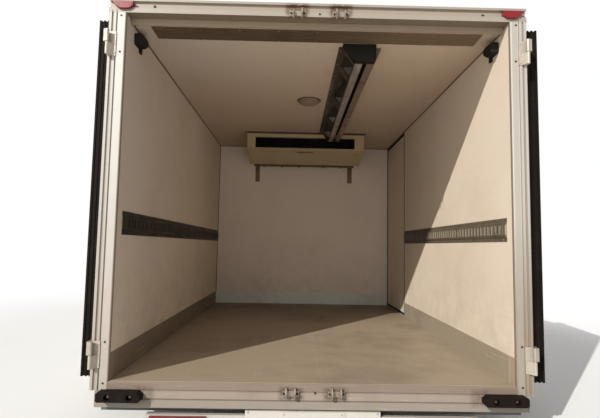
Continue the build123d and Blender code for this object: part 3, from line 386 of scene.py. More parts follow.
def panel_skin(name, outside, inside, stain, level, amount):
    """Glass-fibre skin: white outside, warmer in the load space, clouded, hand-marked and dirty low down."""
    skin = Surface(name, 0.72, outside, Specular_IOR_Level=0.05)
    around = 0.015
    load_space = (0.0, middle(REAR_Y, FRONT_IN), middle(FLOOR_Z, CEIL_Z))
    reach = (WALL_X + around, 0.5 * (FRONT_IN - REAR_Y) + around, 0.5 * (CEIL_Z - FLOOR_Z) + around)
    skin.patch(load_space, reach, inside, edge=0.010)
    skin.grime(stain, 0.30, 0.05)
    dirt = skin.shared("low_dirt", Level=level, Reach=0.75, Amount=amount)["Mask"]
    skin.cover(dirt, (0.36, 0.30, 0.23))
    skin.scuffs((14.0, 5.0, 60.0), 0.16, (0.42, 0.37, 0.31))

    # Painted shade: an evenly darker ceiling and a darker near left wall; painted light: a paler, cooler end
    # wall
    unshaded, skin.colour = skin.colour, (1.0, 1.0, 1.0)
    within = WALL_X - 0.001
    skin.patch((0, 0, CEIL_Z), (within, ALL_Y, 0.003), (0.80, 0.74, 0.70))
    skin.patch((0, FRONT_IN, 0), (within, 0.003, CEIL_Z - 0.002), (1.15, 1.16, 1.28))
    skin.patch((-WALL_X, REAR_Y, CEIL_Z), (0.004, 0.7, 1.0), (0.78, 0.76, 0.80), 1.0, 1.1, 1.0)
    skin.colour = blend(skin.tree, 1.0, unshaded, skin.colour, "MULTIPLY")

    # Painted shade on the ceiling inside the hanging rail and on the skin behind the load rails' slots, and the
    # kick plates' tan carried back to the rear frame at the feet
    low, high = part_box("hanging_rail")
    hollow, web = middle(low[1], high[1]), 0.5 * (high[1] - low[1])
    skin.patch((0.270, hollow, CEIL_Z), (0.085, web, 0.004), (0.035, 0.024, 0.018), 0.9, 0.002, 1.0)
    # Painted shade on the skin behind each load rail's slots
    start = forward(125)
    for side, end in ((1, JAMB_Y - 0.005), (-1, FRONT_IN - 0.010)):
        slots = (side * WALL_X, middle(start, end), RAIL_MID)
        half = (0.002, 0.5 * (end - start), 0.044)
        skin.patch(slots, half, (0.045, 0.036, 0.027), 0.9, signed=1.0)
    # The kick plates' tan carried back to the rear frame; the left one darker as painted shade
    for side, tone in ((1, (0.33, 0.27, 0.20)), (-1, (0.20, 0.15, 0.105))):
        foot = (side * WALL_X, forward(43), above(70))
        skin.patch(foot, (0.004, 0.029, 0.070), tone, 0.9, signed=1.0)
    return skin.worn(0.72, 0.90, 0.06, dirt, skin.grain(220.0))


PAINT_WEAR = (0.38, 0.72, 0.10)


def chalky(name, base):
    """Chalky paint of the rear frame with grey scuffs and brown clouds."""
    paint = Surface(name, 0.42, base)
    paint.grime((0.40, 0.31, 0.22), 0.22, 0.25, 4.0)
    paint.scuffs((60.0, 60.0, 5.0), 0.30, (0.40, 0.36, 0.31))
    return paint


def post_paint():
    """White posts: greyer outer ribs, painted shade low down, on the right post's inner face and lower part and
    in the grooves, and a rusty scuff over the lower right hinge.
    """
    paint = chalky("post_paint", (0.545, 0.52, 0.48))
    mid, deep = 1.3, 0.1
    outer_rib, inner_rib = (FRAME_X - 0.022, REAR_Y, mid), (WALL_X + 0.028, REAR_Y, mid)
    paint.patch(outer_rib, (0.024, deep, ALL_Z), (0.42, 0.395, 0.36), 0.75, 0.002)
    # Painted shade: both posts darker towards the foot, the right post's lower part and inner face darker still
    paint.patch((0, REAR_Y, above(0)), (ALL_X, deep, 0.10), (0.33, 0.28, 0.23), 0.60, 1.0)
    paint.patch((FRAME_X, REAR_Y, above(80)), (0.2, deep, 0.30), (0.25, 0.195, 0.145), 0.75, 0.50, 1.0)
    paint.patch(inner_rib, (0.014, deep, ALL_Z), (0.34, 0.31, 0.26), 0.60, 0.003, 1.0)
    # Painted shade in the two grooves
    for out, half, strength in ((0.050, 0.002, 0.85), (0.0725, 0.005, 0.80)):
        groove = (WALL_X + out, REAR_Y + 0.006, mid)
        paint.patch(groove, (half, 0.006, ALL_Z), (0.26, 0.21, 0.16), strength)
    hinge = (1.108, REAR_Y, above(255))
    paint.patch(hinge, (0.008, 0.01, 0.020), (0.30, 0.21, 0.14), 0.45, 0.025, 1.0)
    return paint.worn(*PAINT_WEAR)


def header_paint():
    """The header: brown soffit darkened as painted shade, brown lamp recess, ceiling-coloured lip, rusty marks
    behind the keepers.
    """
    paint = chalky("header_paint", (0.325, 0.285, 0.235))
    soffit, lip = (0, REAR_Y + 0.037, CEIL_Z + 0.010), (0, REAR_Y + 0.077, CEIL_Z)
    recess = (0, REAR_Y + 0.014, CEIL_Z + 0.0645)
    # Painted shade on the soffit
    paint.patch(soffit, (ALL_X, 0.033, 0.0095), (0.18, 0.13, 0.082), 0.9, 0.0008)
    paint.patch(lip, (ALL_X, 0.007, 0.0175), (0.34, 0.262, 0.182), 0.95, 0.0008)
    paint.patch(recess, (ALL_X, 0.006, 0.0185), (0.33, 0.27, 0.215), 0.85)
    rust = (0.115, 0.060, 0.026)
    paint.stain((0.120, REAR_Y + 0.007, CEIL_Z + 0.062), (0.052, 0.02, 0.020), rust, 0.9)
    paint.stain((0.118, REAR_Y, CEIL_Z + 0.034), (0.045, 0.02, 0.014), rust, 0.55)
    return paint.worn(*PAINT_WEAR)


def lamp_bar_paint():
    """The lamp bar, in the frame's paint."""
    return chalky("lamp_bar_paint", (0.46, 0.44, 0.405)).worn(*PAINT_WEAR)


def sill_paint():
    """The sill: pinkish worn threshold, pale middle band, greyer lower band, dirt round the keepers and painted
    shadow beside the buffers' inner ends.
    """
    paint = Surface("sill_paint", 0.48, (0.29, 0.235, 0.19))
    paint.grime((0.15, 0.112, 0.08), 0.35, 0.30, 5.0)
    bands = (
        (-18, 0.022, (0.20, 0.145, 0.112), 0.80),
        (-41, 0.0015, (0.10, 0.07, 0.05), 0.85),
        (-87, 0.0025, (0.14, 0.11, 0.085), 0.85),
        (-111, 0.021, (0.25, 0.22, 0.185), 0.80),
    )
    for height, half, tone, strength in bands:
        paint.patch((0, REAR_Y, above(height)), (ALL_X, 0.2, half), tone, strength)
    paint.scuffs((6.0, 60.0, 90.0), 0.55, (0.50, 0.44, 0.37))
    dirt = (0.085, 0.05, 0.03)
    paint.stain((0.114, REAR_Y, above(-52)), (0.050, 0.02, 0.020), dirt, 0.75)
    # Painted shadow beside the inner end of each buffer
    paint.stain((0.86, REAR_Y, above(-62)), (0.035, 0.02, 0.03), dirt, 0.45)
    return paint.worn(0.55, 0.34, 0.12, paint.rubbed)


def floor_sheet():
    """Worn load floor: tan-grey, drag marks along and across it, darker at the far end as painted shade, finely
    grained.
    """
    sheet = Surface("floor_sheet", 0.55, (0.36, 0.285, 0.205))
    sheet.grime((0.18, 0.135, 0.095), 0.60, 0.40, 1.9)
    sheet.scuffs((30.0, 1.0, 1.0), 0.26, (0.52, 0.47, 0.40))
    sheet.scuffs((2.2, 34.0, 1.0), 0.30, (0.20, 0.17, 0.14))
    # Painted shade towards the end wall
    sheet.patch((0, FRONT_IN, FLOOR_Z), (ALL_X, 0.35, 0.5), (0.13, 0.088, 0.062), 0.75, 1.1)
    return sheet.worn(0.48, 0.72, 0.35, height=sheet.grain(420.0, 3.0), distance=0.0008)


def kick_sheet():
    """Scuffed sheet at the foot of the walls: floor tan at the sides, darker on the left as painted shade, pale
    green-grey at the front.
    """
    sheet = Surface("kick_sheet", 0.50, (0.355, 0.295, 0.22), 0.10)
    # Painted shade on the left kick plate
    sheet.patch((-WALL_X, 0, FLOOR_Z), (0.1, 1.5, 0.5), (0.19, 0.145, 0.10), 1.0, 0.3, 1.0)
    sheet.patch((0, FRONT_IN, FLOOR_Z), (ALL_X, 0.006, 0.5), (0.66, 0.67, 0.61))
    sheet.grime((0.20, 0.165, 0.12), 0.45, 0.35, 3.2)
    sheet.scuffs((3.0, 3.0, 70.0), 0.45, (0.56, 0.52, 0.44))
    return sheet.worn(0.58, 0.34, 0.15, sheet.rubbed)


def load_rail_metal():
    """Load rails: nearly black brown; the right rail lighter as painted sunlight, with stripes painted as
    sunlit rungs between shaded slots, and painted shadow at its far end.
    """
    rail = Surface("load_rail_metal", 0.52, (0.024, 0.018, 0.012), 0.35)
    tree, pitch = rail.tree, 0.025
    # Stripes at half the slots' pitch: painted sunlit rungs with painted shaded slots between them
    centre = middle(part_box("load_rails")[0][1], JAMB_Y)
    from_middle = maths(tree, "SUBTRACT", split(tree, rail.place)["Y"], centre)
    turn = product(tree, from_middle, 2 * pi / pitch)
    between = ramp(tree, maths(tree, "COSINE", turn), -0.55, -0.05)
    bars = blend(tree, between, (0.44, 0.385, 0.29), (0.090, 0.070, 0.048))
    right = (WALL_X, 0, RAIL_MID)
    # Painted sunlight on the right rail, then the painted rungs and slots, then painted shadow over its far end
    rail.patch(right, (0.5, ALL_Y, 0.5), (0.17, 0.138, 0.095), 1.0, 0.01, 1.0)
    rail.patch(right, (0.5, ALL_Y, 0.026), bars, signed=1.0)
    rail.patch((WALL_X, JAMB_Y, RAIL_MID), (0.5, 0.80, 0.5), (0.036, 0.027, 0.019), 0.8, 0.13, 1.0)
    rail.grime((0.022, 0.017, 0.012), 0.5, 0.4, 8.0)
    rail.scuffs((40.0, 4.0, 90.0), 0.40, (0.30, 0.27, 0.21))
    return rail.worn(0.45, 0.75, 0.12)


def hanging_rail_metal():
    """Hanging rail: dark web, pale worn plate left of the slot, tan plate and flange right of it."""
    rail = Surface("hanging_rail_metal", 0.42, (0.060, 0.047, 0.035), 0.45)
    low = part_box("hanging_rail")[0][2]
    rail.patch((0.268, 0, low), (0.0235, ALL_Y, 0.004), (0.40, 0.355, 0.29), 0.9, signed=1.0)
    rail.patch((0.340, 0, low), (0.0235, ALL_Y, 0.004), (0.27, 0.205, 0.145), 0.9, signed=1.0)
    rail.patch((0.384, 0, low), (0.0220, ALL_Y, 0.120), (0.24, 0.18, 0.125), 0.9, signed=1.0)
    rail.grime((0.03, 0.022, 0.015), 0.45, 0.35, 7.0)
    rail.scuffs((70.0, 5.0, 70.0), 0.5, (0.42, 0.38, 0.32))
    return rail.worn(0.36, 0.70, 0.12)


def cream_enamel():
    """Cream enamel of the evaporator, yellowed, with a dark line under its top flange."""
    enamel = Surface("cream_enamel", 0.36, (0.50, 0.405, 0.235))
    enamel.grime((0.32, 0.23, 0.12), 0.35, 0.12, 4.0)
    flange = (0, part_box("evaporator_housing")[0][1], CEIL_Z - 0.004)
    enamel.patch(flange, (ALL_X, 0.012, 0.014), (0.045, 0.028, 0.018), 0.95)
    return enamel.worn(0.34, 0.66, 0.10, height=enamel.grain(500.0))


def metal(name, base, stain, roughness, metallic, amount=0.4, scale=6.0, stretch=(60.0, 6.0, 60.0)):
    """A metal with clouded oxide, speckle and fine brushing."""
    surface = Surface(name, roughness, base, metallic)
    surface.grime(stain, amount, amount * 0.8, scale)
    surface.scuffs(stretch, 0.4, tuple(min(1.0, value * 1.6) for value in base))
    return surface.worn(roughness, min(0.9, roughness + 0.3), 0.12)


def ribbed_strip():
    """Bare metal strip gone brown, paler to the right as a painted reflection, with fine ribs across its width.
    """
    strip = Surface("ribbed_strip", 0.42, (0.185, 0.130, 0.080), 0.55)
    strip.grime((0.085, 0.058, 0.034), 0.55, 0.30, 3.5)
    # Painted reflection: the right part paler
    strip.patch((0.85, forward(194), CEIL_Z), (0.35, 0.2, 0.1), (0.30, 0.215, 0.135), 0.85, 0.5, 1.0)
    strip.scuffs((5.0, 120.0, 1.0), 0.45, (0.40, 0.32, 0.23))
    return strip.worn(0.35, 0.70, 0.5, height=strip.waves("Y", 32.0, 0.3))


def dusty(name, base, dirt, low, high, grain, **sockets):
    """A plain finish: the values of its grime, roughness from low to high, and grain as (scale, strength)."""
    plain = Surface(name, low, base, **sockets)
    plain.grime(*dirt)
    scale, strength = grain
    return plain.worn(low, high, strength, height=plain.grain(scale))


def black_rubber():
    """Matt rubber with dust in it and a fine grain."""
    dirt = ((0.040, 0.028, 0.020), 0.30, 0.20, 9.0)
    shine = {"Specular_IOR_Level": 0.08}
    return dusty("black_rubber", (0.0085, 0.0060, 0.0045), dirt, 0.62, 0.92, (700.0, 0.25), **shine)


def moulded_plastic(name, base, stain, roughness, shine=0.5):
    """Moulded plastic: fine grain, faint clouds and dust."""
    dirt = (stain, 0.25, 0.12, 5.0)
    rougher = min(0.9, roughness + 0.3)
    return dusty(name, base, dirt, roughness, rougher, (500.0, 0.12), Specular_IOR_Level=shine)


def lens(name, base, deep):
    """Coloured lamp lens: moulded prisms under a glossy face."""
    glass = Surface(name, 0.30, base, Coat_Weight=0.2, Specular_IOR_Level=0.3)
    cells = new_node(glass.tree, "ShaderNodeTexVoronoi", Vector=glass.place, Scale=110.0, Randomness=0.0)
    cells.distance = "CHEBYCHEV"
    prisms = cells.outputs["Distance"]
    glass.cover(ramp(glass.tree, prisms, 0.1, 0.6), deep)
    glass.grime((0.12, 0.085, 0.06), 0.25, 0.12)
    return glass.embossed(prisms, 0.5, 0.0015)


def frosted_lens():
    """Frosted cover of the ceiling lamp, dull and dusty."""
    dirt = ((0.14, 0.10, 0.06), 0.4, 0.3, 12.0)
    return dusty("frosted_lens", (0.25, 0.185, 0.115), dirt, 0.30, 0.65, (300.0, 0.2))


def finned_coil(name, fin):
    """Close fins, black between them."""
    coil = Surface(name, 0.55, (0.004, 0.004, 0.005), 0.3)
    fins = coil.waves("X", 90.0)
    coil.cover(ramp(coil.tree, fins, 0.3, 0.7), fin)
    coil.grime((0.10, 0.08, 0.06), 0.5, 0.3)
    return coil.embossed(fins, 0.8, 0.002)


def finish(slot):
    """The material of one slot, or of one piece that has its own, made once."""
    if slot not in MATERIALS:
        make, *values = FINISHES[slot]
        MATERIALS[slot] = make(*values)
    return MATERIALS[slot]


MATERIALS = {}
COVER_WHITE = (0.60, 0.59, 0.565)
UPRIGHT = (50.0, 50.0, 8.0)
FINISHES = {
    "panel_white": (
        panel_skin, "panel_skin", (0.58, 0.57, 0.54), (0.74, 0.64, 0.515), (0.56, 0.44, 0.31),
        FLOOR_Z, 0.40,
    ),
    "condenser_white": (
        panel_skin, "condenser_cover", COVER_WHITE, COVER_WHITE, (0.46, 0.42, 0.36), FLOOR_Z + 1.2, 0.35
    ),
    "frame_white": (post_paint,),
    "rear_header": (header_paint,),
    "lamp_bar": (lamp_bar_paint,),
    "sill_metal": (sill_paint,),
    "floor_sheet": (floor_sheet,),
    "kick_grey": (kick_sheet,),
    "rail_steel": (load_rail_metal,),
    "rail_dark": (hanging_rail_metal,),
    "strip_brown": (ribbed_strip,),
    "cream_housing": (cream_enamel,),
    "lamp_glass": (frosted_lens,),
    "black_rubber": (black_rubber,),
    "coil_metal": (finned_coil, "coil_fins", (0.16, 0.165, 0.17)),
    "evaporator_coil": (finned_coil, "coil_shadowed", (0.022, 0.020, 0.022)),
    "red_lens": (lens, "red_lens", (0.27, 0.009, 0.014), (0.12, 0.003, 0.005)),
    "amber_lens": (lens, "amber_lens", (0.85, 0.27, 0.02), (0.45, 0.10, 0.005)),
    "black_plastic": (
        moulded_plastic, "black_plastic", (0.011, 0.0085, 0.007), (0.045, 0.032, 0.023), 0.6, 0.2
    ),
    "condenser_fan_left": (
        moulded_plastic, "fan_grey", (0.060, 0.060, 0.064), (0.09, 0.075, 0.06), 0.5
    ),
    "condenser_fan_right": (finish, "condenser_fan_left"),
    "frame_seals": (
        moulded_plastic, "frame_seal_brown", (0.17, 0.132, 0.098), (0.06, 0.045, 0.03), 0.7, 0.2
    ),
    "plate_white": (moulded_plastic, "plate_white", (0.54, 0.52, 0.475), (0.34, 0.29, 0.23), 0.5),
    "hook_bar": (metal, "hook_bar_brown", (0.20, 0.125, 0.070), (0.08, 0.05, 0.03), 0.55, 0.2),
    "lock_steel": (
        metal, "lock_steel", (0.42, 0.38, 0.325), (0.22, 0.155, 0.10), 0.48, 0.5, 0.45, 14.0, UPRIGHT
    ),
    "frame_hinges": (
        metal, "hinge_paint", (0.47, 0.42, 0.355), (0.26, 0.18, 0.11), 0.5, 0.2, 0.45, 14.0, UPRIGHT
    ),
    "keeper_dark": (
        metal, "keeper_dark", (0.30, 0.25, 0.20), (0.05, 0.03, 0.02), 0.50, 0.5, 0.75, 22.0
    ),
    "header_rivet": (metal, "header_rivet", (0.16, 0.12, 0.08), (0.06, 0.04, 0.025), 0.5, 0.3),
    "nut_dark": (metal, "nut_dark", (0.045, 0.03, 0.022), (0.02, 0.014, 0.01), 0.6, 0.4),
    "trim_aluminium": (
        metal, "trim_aluminium", (0.50, 0.50, 0.49), (0.32, 0.30, 0.27), 0.72, 0.15, 0.35, 5.0
    ),
    "subframe_grey": (
        metal, "subframe_paint", (0.10, 0.10, 0.105), (0.16, 0.12, 0.09), 0.6, 0.1, 0.55, 4.0
    ),
}


# Pieces

FACING = {
    "-y": (radians(90), 0.0, 0.0),
    "+y": (radians(-90), 0.0, 0.0),
    "+x": (0.0, radians(90), 0.0),
    "-x": (0.0, radians(-90), 0.0),
    "+z": (0.0, 0.0, 0.0),
    "-z": (radians(180), 0.0, 0.0),
}


def settle(name, mesh, body):
    """A finished mesh as a piece of the scene, with its body."""
    piece = bpy.data.objects.new(name, mesh)
    bpy.context.scene.collection.objects.link(piece)
    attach(piece, body)


def fasteners(name, points, facing, radius, height, slot="lock_steel", sides=8, body="box"):
    """A row or field of screw or rivet heads on one body."""
    mesh = bpy.data.meshes.new(name + "_points")
    mesh.from_pydata([tuple(point) for point in points], [], [])
    carrier = bpy.data.objects.new(name + "_points", mesh)
    bpy.context.scene.collection.objects.link(carrier)
    modifier = carrier.modifiers.new("fasteners", "NODES")
    modifier.node_group = group("fasteners")
    values = {
        "Head Radius": radius,
        "Head Height": height,
        "Sides": sides,
        "Turn": FACING.get(facing, facing),
        "Material": finish(slot),
    }
    for item in modifier.node_group.interface.items_tree:
        if item.in_out == "INPUT" and item.name in values:
            modifier[item.identifier] = values[item.name]
    graph = bpy.context.evaluated_depsgraph_get()
    graph.update()
    heads = bpy.data.meshes.new_from_object(carrier.evaluated_get(graph))
    heads.name = name
    bpy.data.objects.remove(carrier)
    settle(name, heads, body)


def mesh_from(name, shape, material):
    """A mesh of one material from a filled bmesh, which is freed."""
    mesh = bpy.data.meshes.new(name)
    shape.to_mesh(mesh)
    shape.free()
    mesh.materials.append(material)
    return mesh


def shaped(name, slot, shape, body="box"):
    """A piece from a filled bmesh."""
    bmesh.ops.remove_doubles(shape, verts=shape.verts, dist=1e-6)
    bmesh.ops.recalc_face_normals(shape, faces=shape.faces)
    settle(name, mesh_from(name, shape, finish(slot)), body)


def bridge(shape, first, second):
    """Faces between two closed rings of points."""
    count = len(first)
    for index in range(count):
        after = (index + 1) % count
        shape.faces.new((first[index], first[after], second[after], second[index]))


def swept(name, slot, outline, runs, body="box"):
    """A piece of closed strips: an outline in (across, up) swept along each (start, end, across, up)."""
    shape = bmesh.new()
    for start, end, across, up in runs:
        offsets = [across * u + up * v for u, v in outline]
        near, far = [
            [shape.verts.new(Vector(place) + offset) for offset in offsets] for place in (start, end)
        ]
        bridge(shape, near, far)
        shape.faces.new(near[::-1])
        shape.faces.new(far)
    shaped(name, slot, shape, body)


def wire_ring(shape, centre, radius, wire, segments=40, sides=5, axes=(Z, Y)):
    """A ring of round wire in the plane of X and the first axis, about the second."""
    across, along = axes
    turns = [2 * pi * side / sides for side in range(sides)]
    rings = []
    for index in range(segments):
        angle = 2 * pi * index / segments
        out = X * cos(angle) + across * sin(angle)
        place = Vector(centre) + out * radius
        spots = [place + out * (wire * cos(turn)) + along * (wire * sin(turn)) for turn in turns]
        rings.append([shape.verts.new(spot) for spot in spots])
    for index in range(segments):
        bridge(shape, rings[index], rings[(index + 1) % segments])


def flat_strip(half, top):
    """Outline of a thin strip with sloped edges that reaches a little into its face."""
    depth, edge, height = -0.001, 0.0012, 0.0025
    return ((-half, depth), (half, depth), (half, edge), (top, height), (-top, height), (-half, edge))


# The open rear doors: distances along the leaf and through it are from its axis
DOOR_AXIS = (WALL_X + 0.086, REAR_Y - 0.030)
DOOR_SHORT = {-1: 0.0, 1: radians(6)}
STRAP_FACE, BEARING_FACE, LEAF_FACE = 0.014, 0.025, 0.030
STRAP_Z = (0.452, 0.485, 2.097, 2.130)
LEAF_LOW, LEAF_HIGH = 0.352, 2.192
ROD_ALONG = DOOR_AXIS[0] - 0.118
BEARING_Z = (above(60), above(640), above(1130), under(60))


def hung(side, along, inward, z):
    """A place on an open rear door."""
    turn = DOOR_SHORT[side]
    out = inward * cos(turn) + along * sin(turn)
    back = along * cos(turn) - inward * sin(turn)
    return Vector((side * (DOOR_AXIS[0] + out), DOOR_AXIS[1] + back, z))


# Settings


class BodySizes(bpy.types.PropertyGroup):
    screw_radius: bpy.props.FloatProperty(
        name="Screw head", description="Radius of the frame's screw heads", default=0.0060, unit="LENGTH"
    )
    rivet_radius: bpy.props.FloatProperty(
        name="Rivet head", description="Radius of the rivet heads", default=0.0042, unit="LENGTH"
    )
    bolt_radius: bpy.props.FloatProperty(
        name="Bolt head", description="Radius of the hexagon bolt heads", default=0.0085, unit="LENGTH"
    )
    bead_width: bpy.props.FloatProperty(
        name="Sealant bead", description="Width of the sealant in the corners", default=0.007, unit="LENGTH"
    )
    guard_wire: bpy.props.FloatProperty(
        name="Guard wire", description="Radius of the wire in the fan guards", default=0.0016, unit="LENGTH"
    )


class StageSettings(bpy.types.PropertyGroup):
    floor_colour: bpy.props.FloatVectorProperty(
        name="Floor colour", description="Colour of the floor", default=(0.86, 0.86, 0.85), subtype="COLOR"
    )
    shadow_reach: bpy.props.FloatProperty(
        name="Shadow reach", description="Distance at which the floor is white", default=6.5, unit="LENGTH"
    )
    sun_strength: bpy.props.FloatProperty(
        name="Sun", description="Strength of the low sun that shines in through the doorway", default=3.85
    )
    key_power: bpy.props.FloatProperty(
        name="Key power", description="Power of the soft lamp behind the camera", default=45.0, unit="POWER"
    )
    rim_power: bpy.props.FloatProperty(
        name="Rim power", description="Power of the soft lamp over the front", default=110.0, unit="POWER"
    )
    fill_strength: bpy.props.FloatProperty(
        name="Fill", description="Strength of the even light from all round", default=0.365
    )


# Operators


class TRUCKBODY_OT_finishes(bpy.types.Operator):
    """Give every CAD piece its finish"""

    bl_idname = "truckbody.finishes"
    bl_label = "Finishes"

    def execute(self, context):
        slots = {entry["node"]: entry["material_slot"] for entry in frame["record"]["subparts"]}
        for name, piece in frame["nodes"].items():
            material = finish(name if name in FINISHES else slots[name])
            if not piece.material_slots:
                piece.data.materials.append(material)
            for place in piece.material_slots:
                place.material = material
        return {"FINISHED"}


class TRUCKBODY_OT_frame_screws(bpy.types.Operator):
    """Screws, nuts and bolts on the posts, header, sill, hinge leaves, keepers and buffers"""

    bl_idname = "truckbody.frame_screws"
    bl_label = "Frame Screws"

    def execute(self, context):
        sizes = context.scene.body_sizes
        spots = (
            (-1078, 1940), (-1077, 1736), (-1076, 195), (-1077, -12),
            (1086, 1940), (1082, 1734), (1083, 201), (1084, -6), (4, 1974), (9, -47),
        )
        points = [(x * MM, REAR_Y, above(z)) for x, z in spots]
        fasteners("frame_screws", points, "-y", sizes.screw_radius, 0.003, "nut_dark", 12)
        recess = REAR_Y + 0.014
        corners = [(-0.903, recess, above(2001)), (0.909, recess, above(1997))]
        fasteners("header_bolts", corners, "-y", sizes.bolt_radius, 0.005, "nut_dark", 6)
        plate, keeper_x, leaf_x = REAR_Y - 0.005, 118, 1.106
        reaches = [(reach, z) for reach in (-35, 35) for z in (1974, -50)]
        nuts = [(side * (keeper_x + reach) * MM, plate, above(z)) for side in SIDES for reach, z in reaches]
        fasteners("keeper_nuts", nuts, "-y", 0.0075, 0.006, "nut_dark", 6)
        heights = (above(82), above(134), above(186), under(213), under(161), under(109))
        leaves = [(side * leaf_x, plate, z) for side in SIDES for z in heights]
        fasteners("hinge_leaf_screws", leaves, "-y", 0.0055, 0.0025, "frame_hinges", 12)
        bolts = [(side * x * MM, REAR_Y - 0.030, above(-65.5)) for side in SIDES for x in (924, 1034)]
        fasteners("buffer_bolts", bolts, "-y", 0.010, 0.007, "keeper_dark", 6)
        return {"FINISHED"}


class TRUCKBODY_OT_door_fittings(bpy.types.Operator):
    """Screws, rivets and handle grips of the rear doors; screws and joint seals of the side door"""

    bl_idname = "truckbody.door_fittings"
    bl_label = "Door Fittings"

    def execute(self, context):
        sizes = context.scene.body_sizes
        for side in SIDES:
            self.rear_door(side, sizes)
        self.side_door(sizes)
        return {"FINISHED"}

    def rear_door(self, side, sizes):
        body = "rear_door_" + LABEL[side]
        straps = [(along, z) for z in STRAP_Z for along in (0.125, 0.165, 0.205, 0.245)]
        corners = [(reach, rise) for reach in (-0.026, 0.026) for rise in (-0.018, 0.018)]
        bearings = [(ROD_ALONG + reach, z + rise) for z in BEARING_Z for reach, rise in corners]
        edge = [(along, z) for along in spaced(0.300, 0.960, 0.165) for z in (LEAF_LOW, LEAF_HIGH)]
        edge += [(1.088, z) for z in spaced(LEAF_LOW, LEAF_HIGH, 0.184)]
        rows = (
            ("strap_screws_", straps, STRAP_FACE, sizes.screw_radius, 0.0025, "lock_steel", 12),
            ("bearing_bolts_", bearings, BEARING_FACE, 0.0050, 0.0035, "lock_steel", 6),
            ("door_rivets_", edge, LEAF_FACE, sizes.rivet_radius, 0.002, "trim_aluminium", 8),
        )
        turn = DOOR_SHORT[side]
        inward = Vector((side * cos(turn), -sin(turn), 0.0))
        out = tuple((-inward).to_track_quat("Z", "Y").to_euler())
        for name, places, face, radius, height, slot, sides in rows:
            points = [hung(side, along, face, z) for along, z in places]
            fasteners(name + LABEL[side], points, out, radius, height, slot, sides, body)
        start = hung(side, ROD_ALONG - 0.230, 0.0065, above(879.6))
        end = hung(side, ROD_ALONG - 0.343, 0.0065, above(876.2))
        thick, tall, bevel = 0.0052, 0.0155, 0.0024
        low, slim = tall - bevel, thick - bevel
        outline = (
            (-thick, -low), (-slim, -tall), (slim, -tall), (thick, -low),
            (thick, low), (slim, tall), (-slim, tall), (-thick, low),
        )
        swept("handle_grip_" + LABEL[side], "black_rubber", outline, [(start, end, inward, Z)], body)

    def side_door(self, sizes):
        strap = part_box("side_door_hinges")[1][0] - 0.005
        rows = (above(247), above(1037), under(173))
        points = [(strap, y, z) for z in rows for y in (1.475, 1.515, 1.555, 1.595)]
        fasteners("side_strap_screws", points, "+x", 0.0050, 0.0025, sides=12, body="side_door")
        low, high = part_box("side_door_panel")
        columns = (low[1] + 0.02, high[1] - 0.02)
        edge = [(high[0], y, z) for z in spaced(0.36, 2.17, 0.181) for y in columns]
        # The rivets beside the hinges leave room for the straps
        kept = [point for point in edge if point[1] < 1.0 or min(abs(point[2] - z) for z in rows) > 0.05]
        fasteners("side_door_rivets", kept, "+x", sizes.rivet_radius, 0.002, "trim_aluminium", 8, "side_door")
        inner, jamb, foot = WALL_X + 0.002, 0.752, above(4)
        head, lintel = CEIL_Z - 0.0005, CEIL_Z - 0.007
        outline = ((0.0, -0.006), (0.0035, -0.0045), (0.0045, 0.0), (0.0035, 0.0045), (0.0, 0.006))
        runs = [((inner, y, foot), (inner, y, head), -X, Y) for y in (jamb + 0.002, FRONT_IN - 0.008)]
        runs.append(((inner, jamb, lintel), (inner, FRONT_IN - 0.001, lintel), -X, Z))
        swept("side_door_seals", "nut_dark", outline, runs)


class TRUCKBODY_OT_lining(bpy.types.Operator):
    """Rivets of the load rails, kick plates, ceiling strip, hanging rail and header; the lamp's seal"""

    bl_idname = "truckbody.lining"
    bl_label = "Lining"

    def execute(self, context):
        rivet = context.scene.body_sizes.rivet_radius
        inset = 0.003
        for side in SIDES:
            face, label = side * (WALL_X - inset), LABEL[side]
            # The right wall's lining stops at the side doorway
            end = forward(3190) if side < 0 else forward(2310)
            rail = [(face, y, above(z)) for y in spaced(forward(110), end, 0.150) for z in (759, 868)]
            fasteners("rail_rivets_" + label, rail, INWARD[side], rivet, 0.002, "rail_steel")
            kick = [(face, y, above(122)) for y in spaced(forward(120), end, 0.260)]
            fasteners("kick_rivets_" + label, kick, INWARD[side], rivet, 0.0015, "kick_grey")
        front = [(x, FRONT_IN - inset, above(122)) for x in spaced(-0.975, 0.975, 0.195)]
        fasteners("kick_rivets_front", front, "-y", rivet, 0.0015, "kick_grey")
        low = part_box("ceiling_strip")[0][2]
        strip = [(x, forward(y), low) for x in spaced(-0.90, 0.90, 0.225) for y in (132, 256)]
        fasteners("strip_rivets", strip, "-z", 0.0048, 0.002)
        soffit = [(x, forward(35), CEIL_Z + 0.018) for x in spaced(-0.98, 0.98, 0.245)]
        fasteners("header_rivets", soffit, "-z", rivet, 0.002, "header_rivet")
        flange = [(x, y, CEIL_Z - 0.005) for y in spaced(forward(380), 0.82, 0.2) for x in (0.158, 0.388)]
        fasteners("hanging_rail_rivets", flange, "-z", 0.005, 0.0025)
        lamp = [middle(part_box("ceiling_lamp")[0][axis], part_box("ceiling_lamp")[1][axis]) for axis in (0, 1)]
        shape = bmesh.new()
        wire_ring(shape, (*lamp, CEIL_Z - 0.003), 0.0975, 0.0026, 48, 6, (Y, Z))
        shaped("lamp_seal", "black_rubber", shape)
        return {"FINISHED"}


